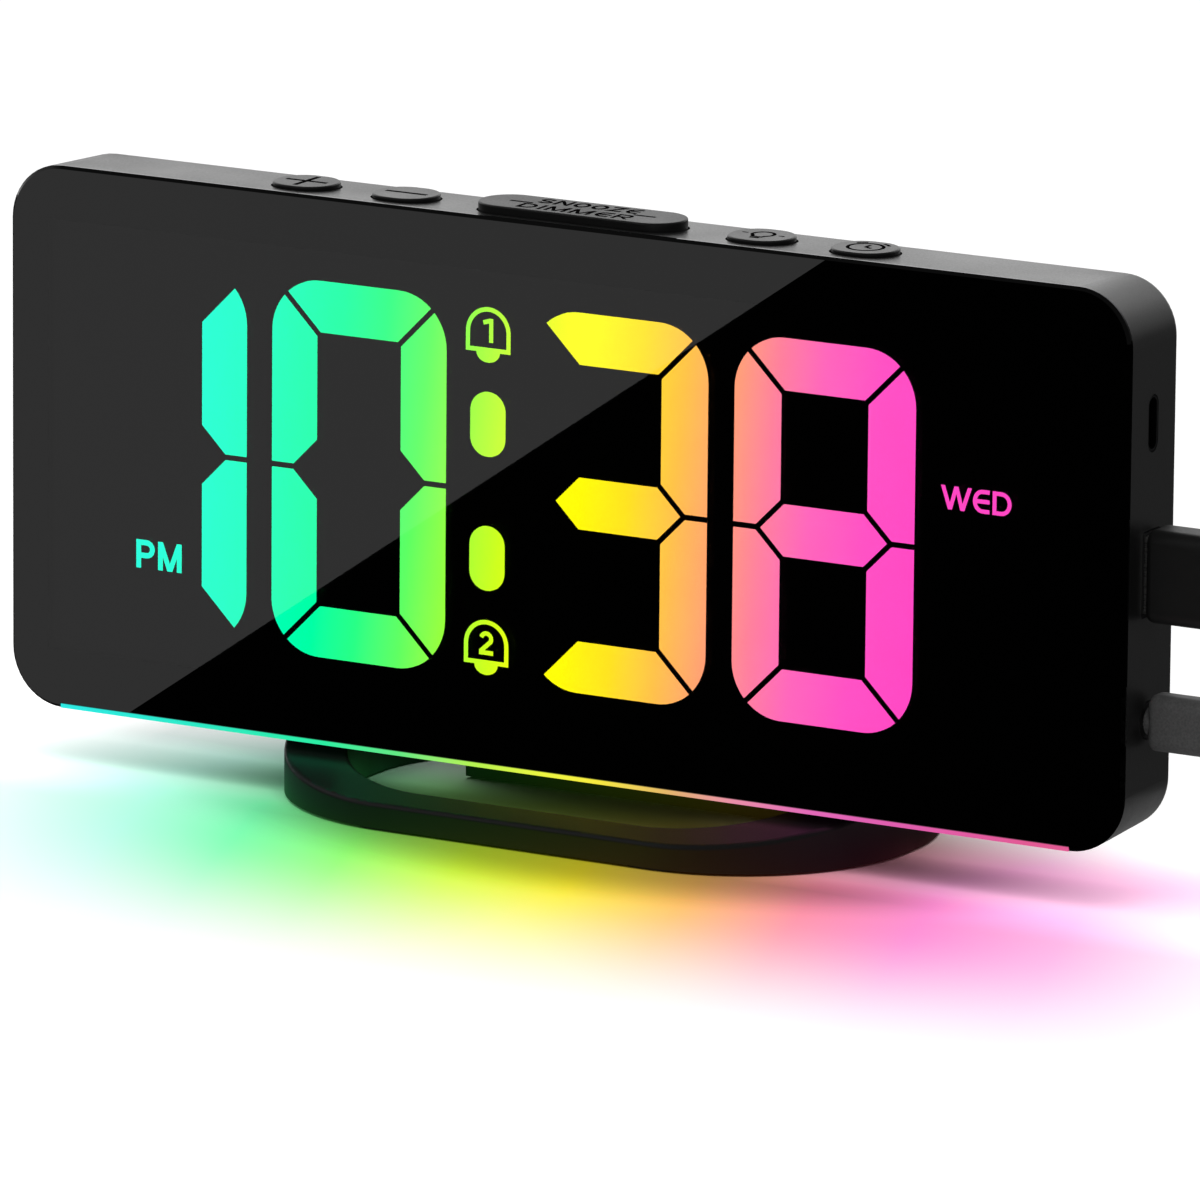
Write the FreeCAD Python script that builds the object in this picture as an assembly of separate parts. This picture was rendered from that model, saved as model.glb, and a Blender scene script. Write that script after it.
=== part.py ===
import FreeCAD, Part
import math
import os
from FreeCAD import Rotation, Vector

# A digital calendar clock: a slim upright body behind a smoked lens, on a ring stand,
# with a charging lead and a power lead plugged into its right side.
# Lengths are in millimetres. X runs to the right, Y from the face to the back and Z up.
# The origin is on the table, under the middle of the ring stand.

# Body
body_width = 200.0
body_height = 88.0
body_depth = 17.3
corner_radius = 9.2
back_corner_radius = 8.9
draft_inset = 0.65
back_edge_radius = 1.2
side_wall = 1.8
back_wall = 2.0
body_lift = 8.8

# Lens: a plate over the whole front, with a step that drops into the casing's rim
lens_rim = 0.9
lens_step = 0.8
lens_step_inset = 1.0
lens_chamfer = 0.5
fit_gap = 0.1

# Display block and its light guides
block_left_gap = 7.0
block_right_gap = 16.5
block_bottom = 9.6
block_top_gap = 8.6
block_depth = 6.0
guide_length = 5.0
guide_gap = 0.05
digit_left_gap = 4.4
digit_low_gap = 4.275
digit_top_gap = 5.075
pair_gap = 4.7
colon_room = 15.1
stroke = 8.2
segment_gap = 0.95
digit_radius = 8.7
colon_offset = 10.7
colon_width = 6.3
colon_height = 10.3
bell_width = 8.0
bell_height = 8.6
bell_end_gap = 0.625
meridiem_width = 10.0
meridiem_height = 6.0
meridiem_gap = 1.625
weekday_width = 13.2
weekday_height = 4.6
weekday_left_gap = 4.1
weekday_right_gap = 3.5
weekday_end_gap = 2.275
chip_length = 2.0
chip_width = 1.6
chip_height = 0.8

# Boards
board_thickness = 1.2
board_margin = 1.5
main_board_left = 18.0
main_board_bottom = 10.0
main_board_top_gap = 12.0
board_screw_inset = 5.0
board_screw_side_inset = 24.0
link_x = 45.0
link_length = 30.0
link_height = 2.5

# Screws
screw_radius = 1.1
screw_head_radius = 2.1
screw_head_height = 1.5
screw_length = 6.0
screw_clearance = 0.05
screw_wall = 1.5
post_radius = 2.8
screw_inset = 4.2

# Ports on the right side, by their height on the body and their depth behind the face
port_depth = 8.55
usb_c_drop = 21.6
usb_a_height = 43.15
dc_height = 20.1
usb_c_slot_width = 9.0
usb_c_slot_thickness = 3.6
usb_c_length = 7.6
usb_a_width = 13.2
usb_a_thickness = 5.8
usb_a_length = 13.6
dc_jack_side = 5.8
dc_jack_length = 11.0
dc_barrel_radius = 1.75
dc_pin_radius = 0.5
port_wall = 0.35
port_gap = 0.15

# Light bar in the bottom front edge
bar_lip = 0.8
bar_depth = 4.0
bar_height = 1.9
bar_board_width = 3.0
bar_board_thickness = 0.8
bar_led_count = 15
bar_led_length = 3.0
bar_led_width = 1.8
bar_led_height = 0.9

# Buttons
button_depth = 7.8
button_spacing = 18.2
button_start = 31.8
button_width = 10.6
button_length = 9.8
button_radius = 4.6
button_rise = 0.55
snooze_width = 36.0
snooze_length = 10.4
snooze_rise = 1.3
button_gap = 0.3
button_travel = 0.5
cap_edge = 0.3
flange_reach = 0.6
flange_thickness = 1.2
flange_drop = 0.15
button_stem_radius = 2.0
switch_side = 4.5
switch_height = 2.4
plunger_radius = 1.2
plunger_length = 1.7
plunger_rise = 0.9
plunger_fit = 0.05
button_board_width = 121.0
button_board_depth = 11.0

# Speaker and its grille
speaker_x = -62.0
speaker_height = 40.0
speaker_radius = 14.0
speaker_depth = 5.4
magnet_radius = 6.5
ring_wall = 1.2
ring_height = 2.0
grille_slots = 7
grille_pitch = 3.2
grille_slot_width = 1.4
grille_radius = 11.5

# Coin cell, its cup and its cover
cell_x = -12.0
cell_drop = 1.3
cell_radius = 10.0
cell_thickness = 3.2
cell_gap = 0.3
contact_thickness = 0.35
contact_radius = 4.0
contact_gap = 1.0
contact_strip = 2.0
cover_thickness = 1.4
cover_width = 33.0
cover_height = 24.0
cover_radius = 5.0
cover_shift = 4.6
cup_wall = 1.2
cover_screw_radius = 0.9
cover_screw_head = 1.8
cover_screw_sink = 0.8

# Stand
ring_width = 108.0
ring_depth = 63.8
ring_overhang = 13.5
ring_end_flat = 1.9
ring_front_height = 4.4
ring_slope = 11.6
ring_bar = 6.0
ring_end_bar = 10.8
hole_end_flat = 2.2
ring_edge = 0.8
neck_half_width = 30.0
neck_top_half_width = 21.0
neck_height = 47.0
neck_gap = 7.0
neck_throat = 7.0
neck_thickness = 5.0
neck_corner = 9.0
pad_proud = 0.4
pad_thickness = 1.0
pad_radius = 2.3
stand_screw_x = 12.0
stand_screw_height = 17.0
stand_screw_reach = 6.0

# Leads
lead_diameter = 3.5
lead_pitch = 3.95
lead_floor_gap = 0.15
coil_layers = 4
usb_shell_width = 12.0
usb_shell_thickness = 4.5
usb_shell_length = 12.0
usb_shell_wall = 0.3
usb_body_width = 14.6
usb_body_thickness = 7.6
usb_body_length = 16.0
usb_body_radius = 2.0
usb_body_gap = 0.5
relief_length = 9.0
relief_radius = 2.5
relief_end_radius = 2.05
relief_groove = 0.3
dc_body_width = 8.9
dc_body_thickness = 5.2
dc_body_length = 14.1
dc_body_radius = 1.9
dc_collar_length = 0.6
dc_collar_radius = 2.3
small_body_width = 11.4
small_body_thickness = 6.2
small_body_length = 15.0
small_shell_width = 8.3
small_shell_thickness = 2.5
small_shell_length = 6.6
tail_length = 14.0
lead_approach = 13.0

# Places worked out from the sizes above
face_y = ring_overhang - ring_depth / 2
back_y = face_y + body_depth
middle_z = body_lift + body_height / 2
top_z = body_lift + body_height
inside_back_y = back_y - back_wall
block_y = face_y + lens_rim + lens_step + fit_gap
display_board_y = block_y + block_depth
port_y = face_y + port_depth
main_board_y = port_y + usb_a_thickness / 2
main_board_right = body_width / 2 - side_wall - board_margin
main_board_top = body_height - main_board_top_gap
side_x = body_width / 2
side_inside_x = side_x - side_wall - draft_inset - port_gap
usb_c_height = body_height - usb_c_drop
ring_radius = ring_depth / 2 - ring_end_flat
ring_hole_radius = ring_depth / 2 - ring_bar - hole_end_flat

# The display's layout fills its block: four equal digits, the colon's room and the weekday column
block_left = body_width / 2 - block_left_gap
block_right = body_width / 2 - block_right_gap
block_top = body_height - block_top_gap
weekday_x = block_right - weekday_right_gap - weekday_width / 2
digits_left = digit_left_gap - block_left
digits_right = weekday_x - weekday_width / 2 - weekday_left_gap
digit_width = (digits_right - digits_left - 2 * pair_gap - colon_room) / 4
digit_height = block_top - block_bottom - digit_low_gap - digit_top_gap
display_x = (digits_left + digits_right) / 2
display_height = block_bottom + digit_low_gap + digit_height / 2
inner_digit_offset = (colon_room + digit_width) / 2
outer_digit_offset = inner_digit_offset + pair_gap + digit_width
bell_offset = digit_height / 2 - bell_end_gap - bell_height / 2
meridiem_offset = digit_height / 2 - stroke - meridiem_gap - meridiem_height / 2
weekday_pitch = (digit_height - weekday_height - 2 * weekday_end_gap) / 6


def outline(corners, plane, level):
    """Closed wire through (u, v, radius) corners, each rounded by its own radius."""
    to_space = {
        "xz": lambda u, v: Vector(u, level, v),
        "xy": lambda u, v: Vector(u, v, level),
        "yz": lambda u, v: Vector(level, u, v),
    }[plane]
    starts, mids, ends = [], [], []
    for i, (u, v, radius) in enumerate(corners):
        corner = Vector(u, v, 0)
        before = Vector(*corners[i - 1][:2], 0) - corner
        after = Vector(*corners[(i + 1) % len(corners)][:2], 0) - corner
        before.normalize()
        after.normalize()
        half = before.getAngle(after) / 2
        reach = radius / math.tan(half)
        starts.append(corner + before * reach)
        ends.append(corner + after * reach)
        inward = before + after
        if inward.Length > 0:
            inward.normalize()
        mids.append(corner + inward * (radius / math.sin(half) - radius))
    edges = []
    for i, (_, _, radius) in enumerate(corners):
        start, end = to_space(*starts[i][:2]), to_space(*ends[i][:2])
        last = to_space(*ends[i - 1][:2])
        if last.distanceToPoint(start) > 1e-6:
            edges.append(Part.LineSegment(last, start).toShape())
        if radius > 0:
            edges.append(Part.Arc(start, to_space(*mids[i][:2]), end).toShape())
    return Part.Wire(edges)


def box_corners(centre_u, centre_v, width, height, radius):
    """Corners of a rounded rectangle, for outline."""
    u, v = width / 2, height / 2
    return [
        (centre_u + su * u, centre_v + sv * v, radius)
        for su, sv in ((1, 1), (-1, 1), (-1, -1), (1, -1))
    ]


def prism(corners, plane, level, length):
    """Solid swept square to its plane from level, over length."""
    way = {"xz": Vector(0, 1, 0), "xy": Vector(0, 0, 1), "yz": Vector(1, 0, 0)}[plane]
    return Part.Face(outline(corners, plane, level)).extrude(way * length)


def block(low, high):
    """Box between two opposite corners."""
    size = Vector(*high) - Vector(*low)
    return Part.makeBox(size.x, size.y, size.z, Vector(*low))


def rod(radius, start, way, length):
    """Round rod from start, along way."""
    return Part.makeCylinder(radius, length, Vector(*start), Vector(*way))


def turned(profile, start, way):
    """Solid turned about an axis, from (along, radius) points, with along running on from start."""
    points = [Vector(a, r, 0) for a, r in profile]
    points = [Vector(profile[0][0], 0, 0)] + points + [Vector(profile[-1][0], 0, 0)]
    face = Part.Face(Part.makePolygon(points + [points[0]]))
    solid = face.revolve(Vector(0, 0, 0), Vector(1, 0, 0), 360)
    solid.Placement = FreeCAD.Placement(Vector(*start), Rotation(Vector(1, 0, 0), Vector(*way)))
    return solid


def fused(shapes):
    """One solid from touching ones."""
    return shapes[0].multiFuse(shapes[1:]).removeSplitter()


def edges_at(shape, axis, level):
    """The edges that lie wholly in the plane square to an axis at that level."""
    found = []
    for edge in shape.Edges:
        low, high = getattr(edge.BoundBox, axis + "Min"), getattr(edge.BoundBox, axis + "Max")
        if abs(low - level) < 1e-4 and abs(high - level) < 1e-4:
            found.append(edge)
    return found


# Body


def taper_share(depth):
    """How far along the casing's taper a depth behind the face lies, from 0 to 1."""
    return max(0.0, depth - lens_rim) / (body_depth - lens_rim)


def body_outline(depth, inset):
    """The body's outline at a depth behind the face, drawn in by inset. It tapers to the back."""
    share = taper_share(depth)
    drawn_in = draft_inset * share + inset
    radius = corner_radius + (back_corner_radius - corner_radius) * share - inset
    corners = box_corners(
        0, middle_z, body_width - 2 * drawn_in, body_height - 2 * drawn_in, radius
    )
    return outline(corners, "xz", face_y + depth)


def body_solid(front, back, inset):
    """The body's form between two depths, drawn in by inset."""
    return Part.makeLoft([body_outline(front, inset), body_outline(back, inset)], True, True)


def button_places():
    """Each button's name, centre along X and plan size."""
    first, second = button_start, button_start + button_spacing
    small = (button_width, button_length, button_radius, button_rise)
    return [
        ("plus", -second, small),
        ("minus", -first, small),
        ("snooze", 0.0, (snooze_width, snooze_length, snooze_length / 2, snooze_rise)),
        ("light", first, small),
        ("alarm", second, small),
    ]


def cap_corners(centre_x, width, length, radius, grow):
    """A button's plan outline, grown by a clearance or a flange."""
    y = face_y + button_depth
    return box_corners(centre_x, y, width + 2 * grow, length + 2 * grow, radius + grow)


def screw_places():
    """Where the casing's four screws enter the display block's posts."""
    low = body_lift + block_bottom + screw_inset
    high = body_lift + block_top - screw_inset
    return [
        (x, z)
        for x in (screw_inset - block_left, block_right - screw_inset)
        for z in (low, high)
    ]


def screw(x, y, z, length):
    """A cross-head screw that points to the front, its head's seat at depth y."""
    head = turned(
        [(0, screw_head_radius), (screw_head_height * 0.6, screw_head_radius),
         (screw_head_height, screw_head_radius * 0.7)],
        (x, y, z),
        (0, 1, 0),
    )
    shank = rod(screw_radius, (x, y - length, z), (0, 1, 0), length)
    slot_y = y + screw_head_height / 2
    reach, half = screw_head_radius * 0.6, screw_radius * 0.25
    across = block((x - reach, slot_y, z - half), (x + reach, slot_y + screw_head_height, z + half))
    upright = block((x - half, slot_y, z - reach), (x + half, slot_y + screw_head_height, z + reach))
    return fused([head, shank]).cut(across).cut(upright)


def cover_centre():
    """The middle of the cell cover, beside the cell to leave room for its screw."""
    return cell_x + cover_shift, body_lift + cell_height


def cover_screw_place():
    """Where the cover's screw goes, clear of the cell at the cover's other end."""
    x, z = cover_centre()
    return x + cover_width / 2 - cover_screw_head - cup_wall, z


button_board_z = body_lift + block_top + fit_gap
cell_height = button_board_z - body_lift - cell_drop - cup_wall - cover_height / 2
cell_back_y = back_y - cover_thickness - fit_gap
cup_floor_y = cell_back_y - cell_thickness - contact_thickness - 2 * fit_gap
screw_seat_y = back_y - screw_head_height - 1.5
screw_column_y = screw_seat_y - screw_wall
bar_half = body_width / 2 - corner_radius
switch_z = button_board_z + board_thickness
plunger_top_z = switch_z + switch_height + plunger_rise


def rear_casing():
    """The moulded shell: tapered walls, rim for the lens, posts, cup, ribs and openings."""
    shell = body_solid(lens_rim, body_depth, 0)
    shell = shell.makeFillet(back_edge_radius, edges_at(shell, "Y", back_y))
    rim_depth = lens_rim + lens_step + fit_gap / 2
    shell = shell.cut(body_solid(lens_rim, rim_depth, lens_step_inset - fit_gap))
    shell = shell.cut(body_solid(lens_rim, body_depth - back_wall, side_wall))

    added = []
    for x, z in screw_places():
        length = inside_back_y - screw_column_y
        added.append(rod(post_radius + 0.8, (x, screw_column_y, z), (0, 1, 0), length))
    for x, z in board_posts():
        length = inside_back_y - main_board_y - board_thickness
        added.append(rod(post_radius, (x, main_board_y + board_thickness, z), (0, 1, 0), length))
    x, z = cover_centre()
    cup_y = cup_floor_y - cup_wall
    cup = box_corners(
        x, z, cover_width + 2 * cup_wall, cover_height + 2 * cup_wall, cover_radius + cup_wall
    )
    added.append(prism(cup, "xz", cup_y, inside_back_y - cup_y))
    collar = rod(
        speaker_radius + fit_gap + ring_wall,
        (speaker_x, inside_back_y - ring_height, body_lift + speaker_height),
        (0, 1, 0),
        ring_height,
    )
    added.append(collar)
    rib_top = top_z - side_wall
    for side in (-1, 1):
        x = side * (button_board_width / 2 + fit_gap)
        low = (min(x, x + side * ring_wall), block_y + fit_gap, button_board_z)
        high = (max(x, x + side * ring_wall), inside_back_y, rib_top)
        added.append(block(low, high))
    shell = fused([shell] + added)

    removed = []
    for x, z in screw_places():
        removed.append(rod(screw_head_radius + 0.3, (x, screw_seat_y, z), (0, 1, 0), back_wall * 4))
        removed.append(rod(screw_radius + 0.2, (x, screw_column_y, z), (0, 1, 0), back_wall * 4))
    for x, z in board_posts():
        y = main_board_y + board_thickness
        removed.append(rod(screw_radius + screw_clearance, (x, y, z), (0, 1, 0), board_screw_bite()))
    for side in (-1, 1):
        start = (side * stand_screw_x, inside_back_y, body_lift + stand_screw_height)
        removed.append(rod(screw_radius + 0.2, start, (0, 1, 0), back_wall))
    cell_z = body_lift + cell_height
    lid = box_corners(*cover_centre(), cover_width + 2 * fit_gap, cover_height + 2 * fit_gap,
                      cover_radius + fit_gap)
    removed.append(prism(lid, "xz", back_y - cover_thickness, cover_thickness))
    depth = back_y - cup_floor_y
    removed.append(rod(cell_radius + cell_gap, (cell_x, cup_floor_y, cell_z), (0, 1, 0), depth))
    screw_x, screw_z = cover_screw_place()
    bite = cover_screw_radius + screw_clearance
    removed.append(rod(bite, (screw_x, cup_floor_y, screw_z), (0, 1, 0), depth))
    removed.append(rod(
        speaker_radius + fit_gap,
        (speaker_x, inside_back_y - ring_height, body_lift + speaker_height),
        (0, 1, 0),
        ring_height,
    ))
    removed += grille_slot_solids()
    for _, x, (width, length, radius, _) in button_places():
        corners = cap_corners(x, width, length, radius, button_gap)
        removed.append(prism(corners, "xy", top_z - 2 * side_wall, 3 * side_wall))
    removed.append(block(
        (-bar_half - fit_gap, face_y, body_lift - 1),
        (bar_half + fit_gap, face_y + bar_depth + fit_gap, body_lift + side_wall + fit_gap),
    ))
    removed += port_holes()
    return shell.cut(removed)


def grille_slot_solids():
    """Upright slots whose ends follow a circle, cut through the back wall."""
    slots = []
    for i in range(grille_slots):
        x = (i - (grille_slots - 1) / 2) * grille_pitch
        length = 2 * math.sqrt(max(grille_radius**2 - x**2, grille_slot_width**2))
        corners = box_corners(
            speaker_x + x,
            body_lift + speaker_height,
            grille_slot_width,
            length,
            grille_slot_width / 2 - 0.01,
        )
        slots.append(prism(corners, "xz", inside_back_y - 1, back_wall + 2))
    return slots


def port_holes():
    """The three openings in the right side."""
    start = side_x - 2 * side_wall
    length = 3 * side_wall
    slot = box_corners(
        port_y, body_lift + usb_c_height, usb_c_slot_thickness, usb_c_slot_width,
        usb_c_slot_thickness / 2 - 0.01,
    )
    mouth = box_corners(
        port_y, body_lift + usb_a_height,
        usb_a_thickness + 2 * port_gap, usb_a_width + 2 * port_gap, 0.5,
    )
    jack = rod(dc_jack_side / 2 + port_gap, (start, port_y, body_lift + dc_height), (1, 0, 0), length)
    return [prism(slot, "yz", start, length), prism(mouth, "yz", start, length), jack]


def front_lens():
    """Smoked plate with a chamfered edge, a step behind it and a notch over the light bar."""
    plate = prism(
        box_corners(0, middle_z, body_width, body_height, corner_radius), "xz", face_y, lens_rim
    )
    plate = plate.makeChamfer(lens_chamfer, edges_at(plate, "Y", face_y))
    inset = 2 * lens_step_inset
    step = prism(
        box_corners(0, middle_z, body_width - inset, body_height - inset,
                    corner_radius - lens_step_inset),
        "xz", face_y + lens_rim, lens_step,
    )
    notch = block(
        (-bar_half - fit_gap, face_y - 1, body_lift - 1),
        (bar_half + fit_gap, face_y + lens_rim + lens_step + 1, body_lift + bar_lip + fit_gap / 2),
    )
    return fused([plate, step]).cut(notch)


# Display


def digit_faces(centre_x, grow):
    """The seven segment faces of one digit at the block's front, each grown by a clearance."""
    z = body_lift + display_height
    half_w, half_h = digit_width / 2, digit_height / 2
    body = Part.Face(outline(
        box_corners(centre_x, z, digit_width + 2 * grow, digit_height + 2 * grow,
                    digit_radius + grow),
        "xz", block_y,
    ))
    inner_w = half_w - stroke
    removed = []
    for side in (-1, 1):
        low, high = z + side * stroke / 2, z + side * (half_h - stroke)
        middle, size = (low + high) / 2, abs(high - low)
        corners = box_corners(centre_x, middle, 2 * (inner_w - grow), size - 2 * grow, 0)
        removed.append(Part.Face(outline(corners, "xz", block_y)))
    gap = segment_gap / 2 - grow
    for side_x_way in (-1, 1):
        edge = Vector(centre_x + side_x_way * half_w, block_y, z)
        knee = Vector(centre_x + side_x_way * (half_w - stroke / 2), block_y, z)
        removed.append(gap_strip(edge, knee, gap))
        for up in (-1, 1):
            inner = Vector(centre_x + side_x_way * inner_w, block_y, z + up * stroke / 2)
            removed.append(gap_strip(knee, inner, gap))
            outer = Vector(centre_x + side_x_way * half_w, block_y, z + up * half_h)
            inner = Vector(centre_x + side_x_way * inner_w, block_y, z + up * (half_h - stroke))
            removed.append(gap_strip(outer, inner, gap))
    return body.cut(removed).Faces


def gap_strip(start, end, half):
    """The dark line between two segments: a strip from start to end, run on a little at each."""
    way = end - start
    way.normalize()
    across = Vector(way.z, 0, -way.x) * half
    start, end = start - way * half, end + way * half
    points = [start + across, end + across, end - across, start - across]
    return Part.Face(Part.makePolygon(points + [points[0]]))


def segment_letter(face, centre_x):
    """A segment's usual letter, from where its middle lies in the digit."""
    x = face.CenterOfMass.x - centre_x
    z = face.CenterOfMass.z - body_lift - display_height
    if abs(x) < stroke / 2:
        return "g" if abs(z) < stroke / 2 else "a" if z > 0 else "d"
    if x > 0:
        return "b" if z > 0 else "c"
    return "f" if z > 0 else "e"


digits = {
    "hour_tens": (display_x - outer_digit_offset, "bc"),
    "hour_units": (display_x - inner_digit_offset, "abcdef"),
    "minute_tens": (display_x + inner_digit_offset, "abcdg"),
    "minute_units": (display_x + outer_digit_offset, "abcdefg"),
}


def guide(face):
    """A light guide behind a face at the block's front."""
    return face.extrude(Vector(0, guide_length, 0))


def colon_faces(grow):
    """The two dots between hours and minutes."""
    return [
        Part.Face(outline(
            box_corners(display_x, body_lift + display_height + side * colon_offset,
                        colon_width + 2 * grow, colon_height + 2 * grow, colon_width / 2 - 0.05),
            "xz", block_y,
        ))
        for side in (-1, 1)
    ]


def bell_faces(grow):
    """The two alarm signs' windows: a round-topped bell over the colon and one under it."""
    faces = []
    for side in (-1, 1):
        z = body_lift + display_height + side * bell_offset
        half, top = bell_width / 2 + grow, z + bell_height / 2 + grow
        foot, rim = z - bell_height / 2 - grow, z - bell_height / 4 - grow
        knob = bell_width / 4 + grow
        faces.append(Part.Face(outline(
            [
                (display_x + half, top, half - 0.1), (display_x - half, top, half - 0.1),
                (display_x - half, rim, 0), (display_x - knob, rim, 0),
                (display_x - knob, foot, knob - 0.1), (display_x + knob, foot, knob - 0.1),
                (display_x + knob, rim, 0), (display_x + half, rim, 0),
            ],
            "xz", block_y,
        )))
    return faces


def meridiem_faces(grow):
    """The windows of the morning and afternoon words, inside the first digit's loops."""
    x = display_x - outer_digit_offset
    return [
        Part.Face(outline(
            box_corners(x, body_lift + display_height + side * meridiem_offset,
                        meridiem_width + 2 * grow, meridiem_height + 2 * grow, 0.4),
            "xz", block_y,
        ))
        for side in (-1, 1)
    ]


def weekday_faces(grow):
    """The windows of the seven weekday words, from the first day at the top down."""
    return [
        Part.Face(outline(
            box_corners(weekday_x, body_lift + display_height + (3 - day) * weekday_pitch,
                        weekday_width + 2 * grow, weekday_height + 2 * grow, 0.4),
            "xz", block_y,
        ))
        for day in range(7)
    ]


def every_window(grow):
    """All faces that light comes through."""
    faces = []
    for centre_x, _ in digits.values():
        faces += digit_faces(centre_x, grow)
    return faces + colon_faces(grow) + bell_faces(grow) + meridiem_faces(grow) + weekday_faces(grow)


def display_block():
    """The black block whose wells hold the light guides, with four screw posts behind."""
    body = block(
        (-block_left, block_y, body_lift + block_bottom),
        (block_right, display_board_y, body_lift + block_top),
    )
    wells = [face.extrude(Vector(0, block_depth, 0)) for face in every_window(guide_gap)]
    posts = [
        rod(post_radius, (x, display_board_y, z), (0, 1, 0), screw_column_y - display_board_y)
        for x, z in screw_places()
    ]
    bores = [
        rod(screw_radius + screw_clearance, (x, screw_column_y - screw_bite(), z), (0, 1, 0),
            screw_bite())
        for x, z in screw_places()
    ]
    return fused([body] + posts).cut(wells + bores)


def screw_bite():
    """How far a casing screw reaches into its post."""
    return screw_length - screw_wall + 0.5


def board_screw_bite():
    """How deep the main board's posts are drilled."""
    return inside_back_y - main_board_y - board_thickness


def display_board():
    """The board that closes the wells from behind."""
    board = block(
        (board_margin - block_left, display_board_y, body_lift + block_bottom + board_margin),
        (block_right - board_margin, display_board_y + board_thickness,
         body_lift + block_top - board_margin),
    )
    holes = [
        rod(post_radius + fit_gap, (x, display_board_y, z), (0, 1, 0), board_thickness)
        for x, z in screw_places()
    ]
    return board.cut(holes)


def display_leds():
    """One light-emitting chip on the board behind each guide."""
    chips = []
    for face in every_window(0):
        middle = face.CenterOfMass
        chips.append(block(
            (middle.x - chip_length / 2, display_board_y - chip_height, middle.z - chip_width / 2),
            (middle.x + chip_length / 2, display_board_y, middle.z + chip_width / 2),
        ))
    return Part.makeCompound(chips)


# Inner boards and parts


def board_posts():
    """The main board's screw places."""
    low = body_lift + main_board_bottom + board_screw_inset
    high = body_lift + main_board_top - board_screw_inset
    return [
        (main_board_left + board_screw_inset, low),
        (main_board_left + board_screw_inset, high),
        (main_board_right - board_screw_side_inset, low),
    ]


def main_board():
    """The board behind the display that carries the ports and the clock's circuits."""
    board = block(
        (main_board_left, main_board_y, body_lift + main_board_bottom),
        (main_board_right, main_board_y + board_thickness, body_lift + main_board_top),
    )
    holes = [
        rod(screw_radius + 0.2, (x, main_board_y, z), (0, 1, 0), board_thickness)
        for x, z in board_posts()
    ]
    clear = [
        rod(post_radius + 0.8 + fit_gap, (x, main_board_y, z), (0, 1, 0), board_thickness)
        for x, z in screw_places()
    ]
    return board.cut(holes + clear)


def board_screws():
    """The main board's screws, with their heads to the front."""
    screws = []
    for x, z in board_posts():
        one = screw(0, 0, 0, board_screw_bite() + board_thickness - fit_gap)
        one.rotate(Vector(0, 0, 0), Vector(0, 0, 1), 180)
        one.translate(Vector(x, main_board_y, z))
        screws.append(one)
    return Part.makeCompound(screws)


def main_chips():
    """The clock, memory, sound and charging chips, a crystal can and two coils."""
    middle = body_lift + display_height
    left = main_board_left
    sizes = [
        (left + 16, middle + 8, 9.0, 9.0, 1.2),
        (left + 30, middle + 8, 5.0, 6.2, 1.4),
        (left + 16, middle - 8, 6.2, 5.0, 1.4),
        (left + 30, middle - 8, 5.0, 5.0, 1.1),
        (left + 42, middle, 6.0, 6.0, 2.0),
        (left + 42, middle - 12, 6.0, 6.0, 2.0),
        (left + 24, middle + 18, 6.8, 2.2, 1.5),
    ]
    return Part.makeCompound([
        block((x - w / 2, main_board_y - t, z - h / 2), (x + w / 2, main_board_y, z + h / 2))
        for x, z, w, h, t in sizes
    ])


def board_link():
    """The plug strip that joins the two boards."""
    z = body_lift + main_board_bottom + board_margin
    return block(
        (link_x - link_length / 2, display_board_y + board_thickness, z),
        (link_x + link_length / 2, main_board_y, z + link_height),
    )


def usb_c_port():
    """An oval metal shell with a tongue inside, on a base that stands on the main board."""
    mouth = side_x - 0.4
    width, thickness = usb_c_slot_width - 2 * port_gap, usb_c_slot_thickness - 2 * port_gap
    z = body_lift + usb_c_height

    def sleeve(w, t, start, length):
        return prism(box_corners(port_y, z, t, w, t / 2 - 0.01), "yz", start, length)

    shell = sleeve(width, thickness, mouth - usb_c_length, usb_c_length)
    shell = shell.cut(sleeve(width - 2 * port_wall, thickness - 2 * port_wall,
                             mouth - usb_c_length + port_wall, usb_c_length))
    tongue = block(
        (mouth - usb_c_length, port_y - 0.35, z - width / 2 + 1.3),
        (mouth - 0.8, port_y + 0.35, z + width / 2 - 1.3),
    )
    base = block(
        (mouth - usb_c_length, port_y + thickness / 2 - port_wall / 2, z - width / 2 + 1),
        (side_inside_x, main_board_y, z + width / 2 - 1),
    )
    return fused([shell, tongue, base])


def usb_a_port():
    """A square-cornered metal shell that the plug's own shell slides into."""
    mouth = side_x - 0.2
    z = body_lift + usb_a_height
    half_t, half_w = usb_a_thickness / 2, usb_a_width / 2
    case = block((mouth - usb_a_length, port_y - half_t, z - half_w), (mouth, port_y + half_t, z + half_w))
    inner_t = usb_shell_thickness / 2 + fit_gap
    inner_w = usb_shell_width / 2 + fit_gap
    room = block(
        (mouth - usb_shell_length - fit_gap, port_y - inner_t, z - inner_w),
        (mouth, port_y + inner_t, z + inner_w),
    )
    tongue_t = usb_shell_thickness / 2 - usb_shell_wall - fit_gap
    tongue_w = usb_shell_width / 2 - usb_shell_wall - fit_gap
    tongue = block(
        (mouth - usb_a_length + port_wall, port_y + fit_gap, z - tongue_w),
        (mouth - 1.5, port_y + tongue_t, z + tongue_w),
    )
    return fused([case.cut(room), tongue])


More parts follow.
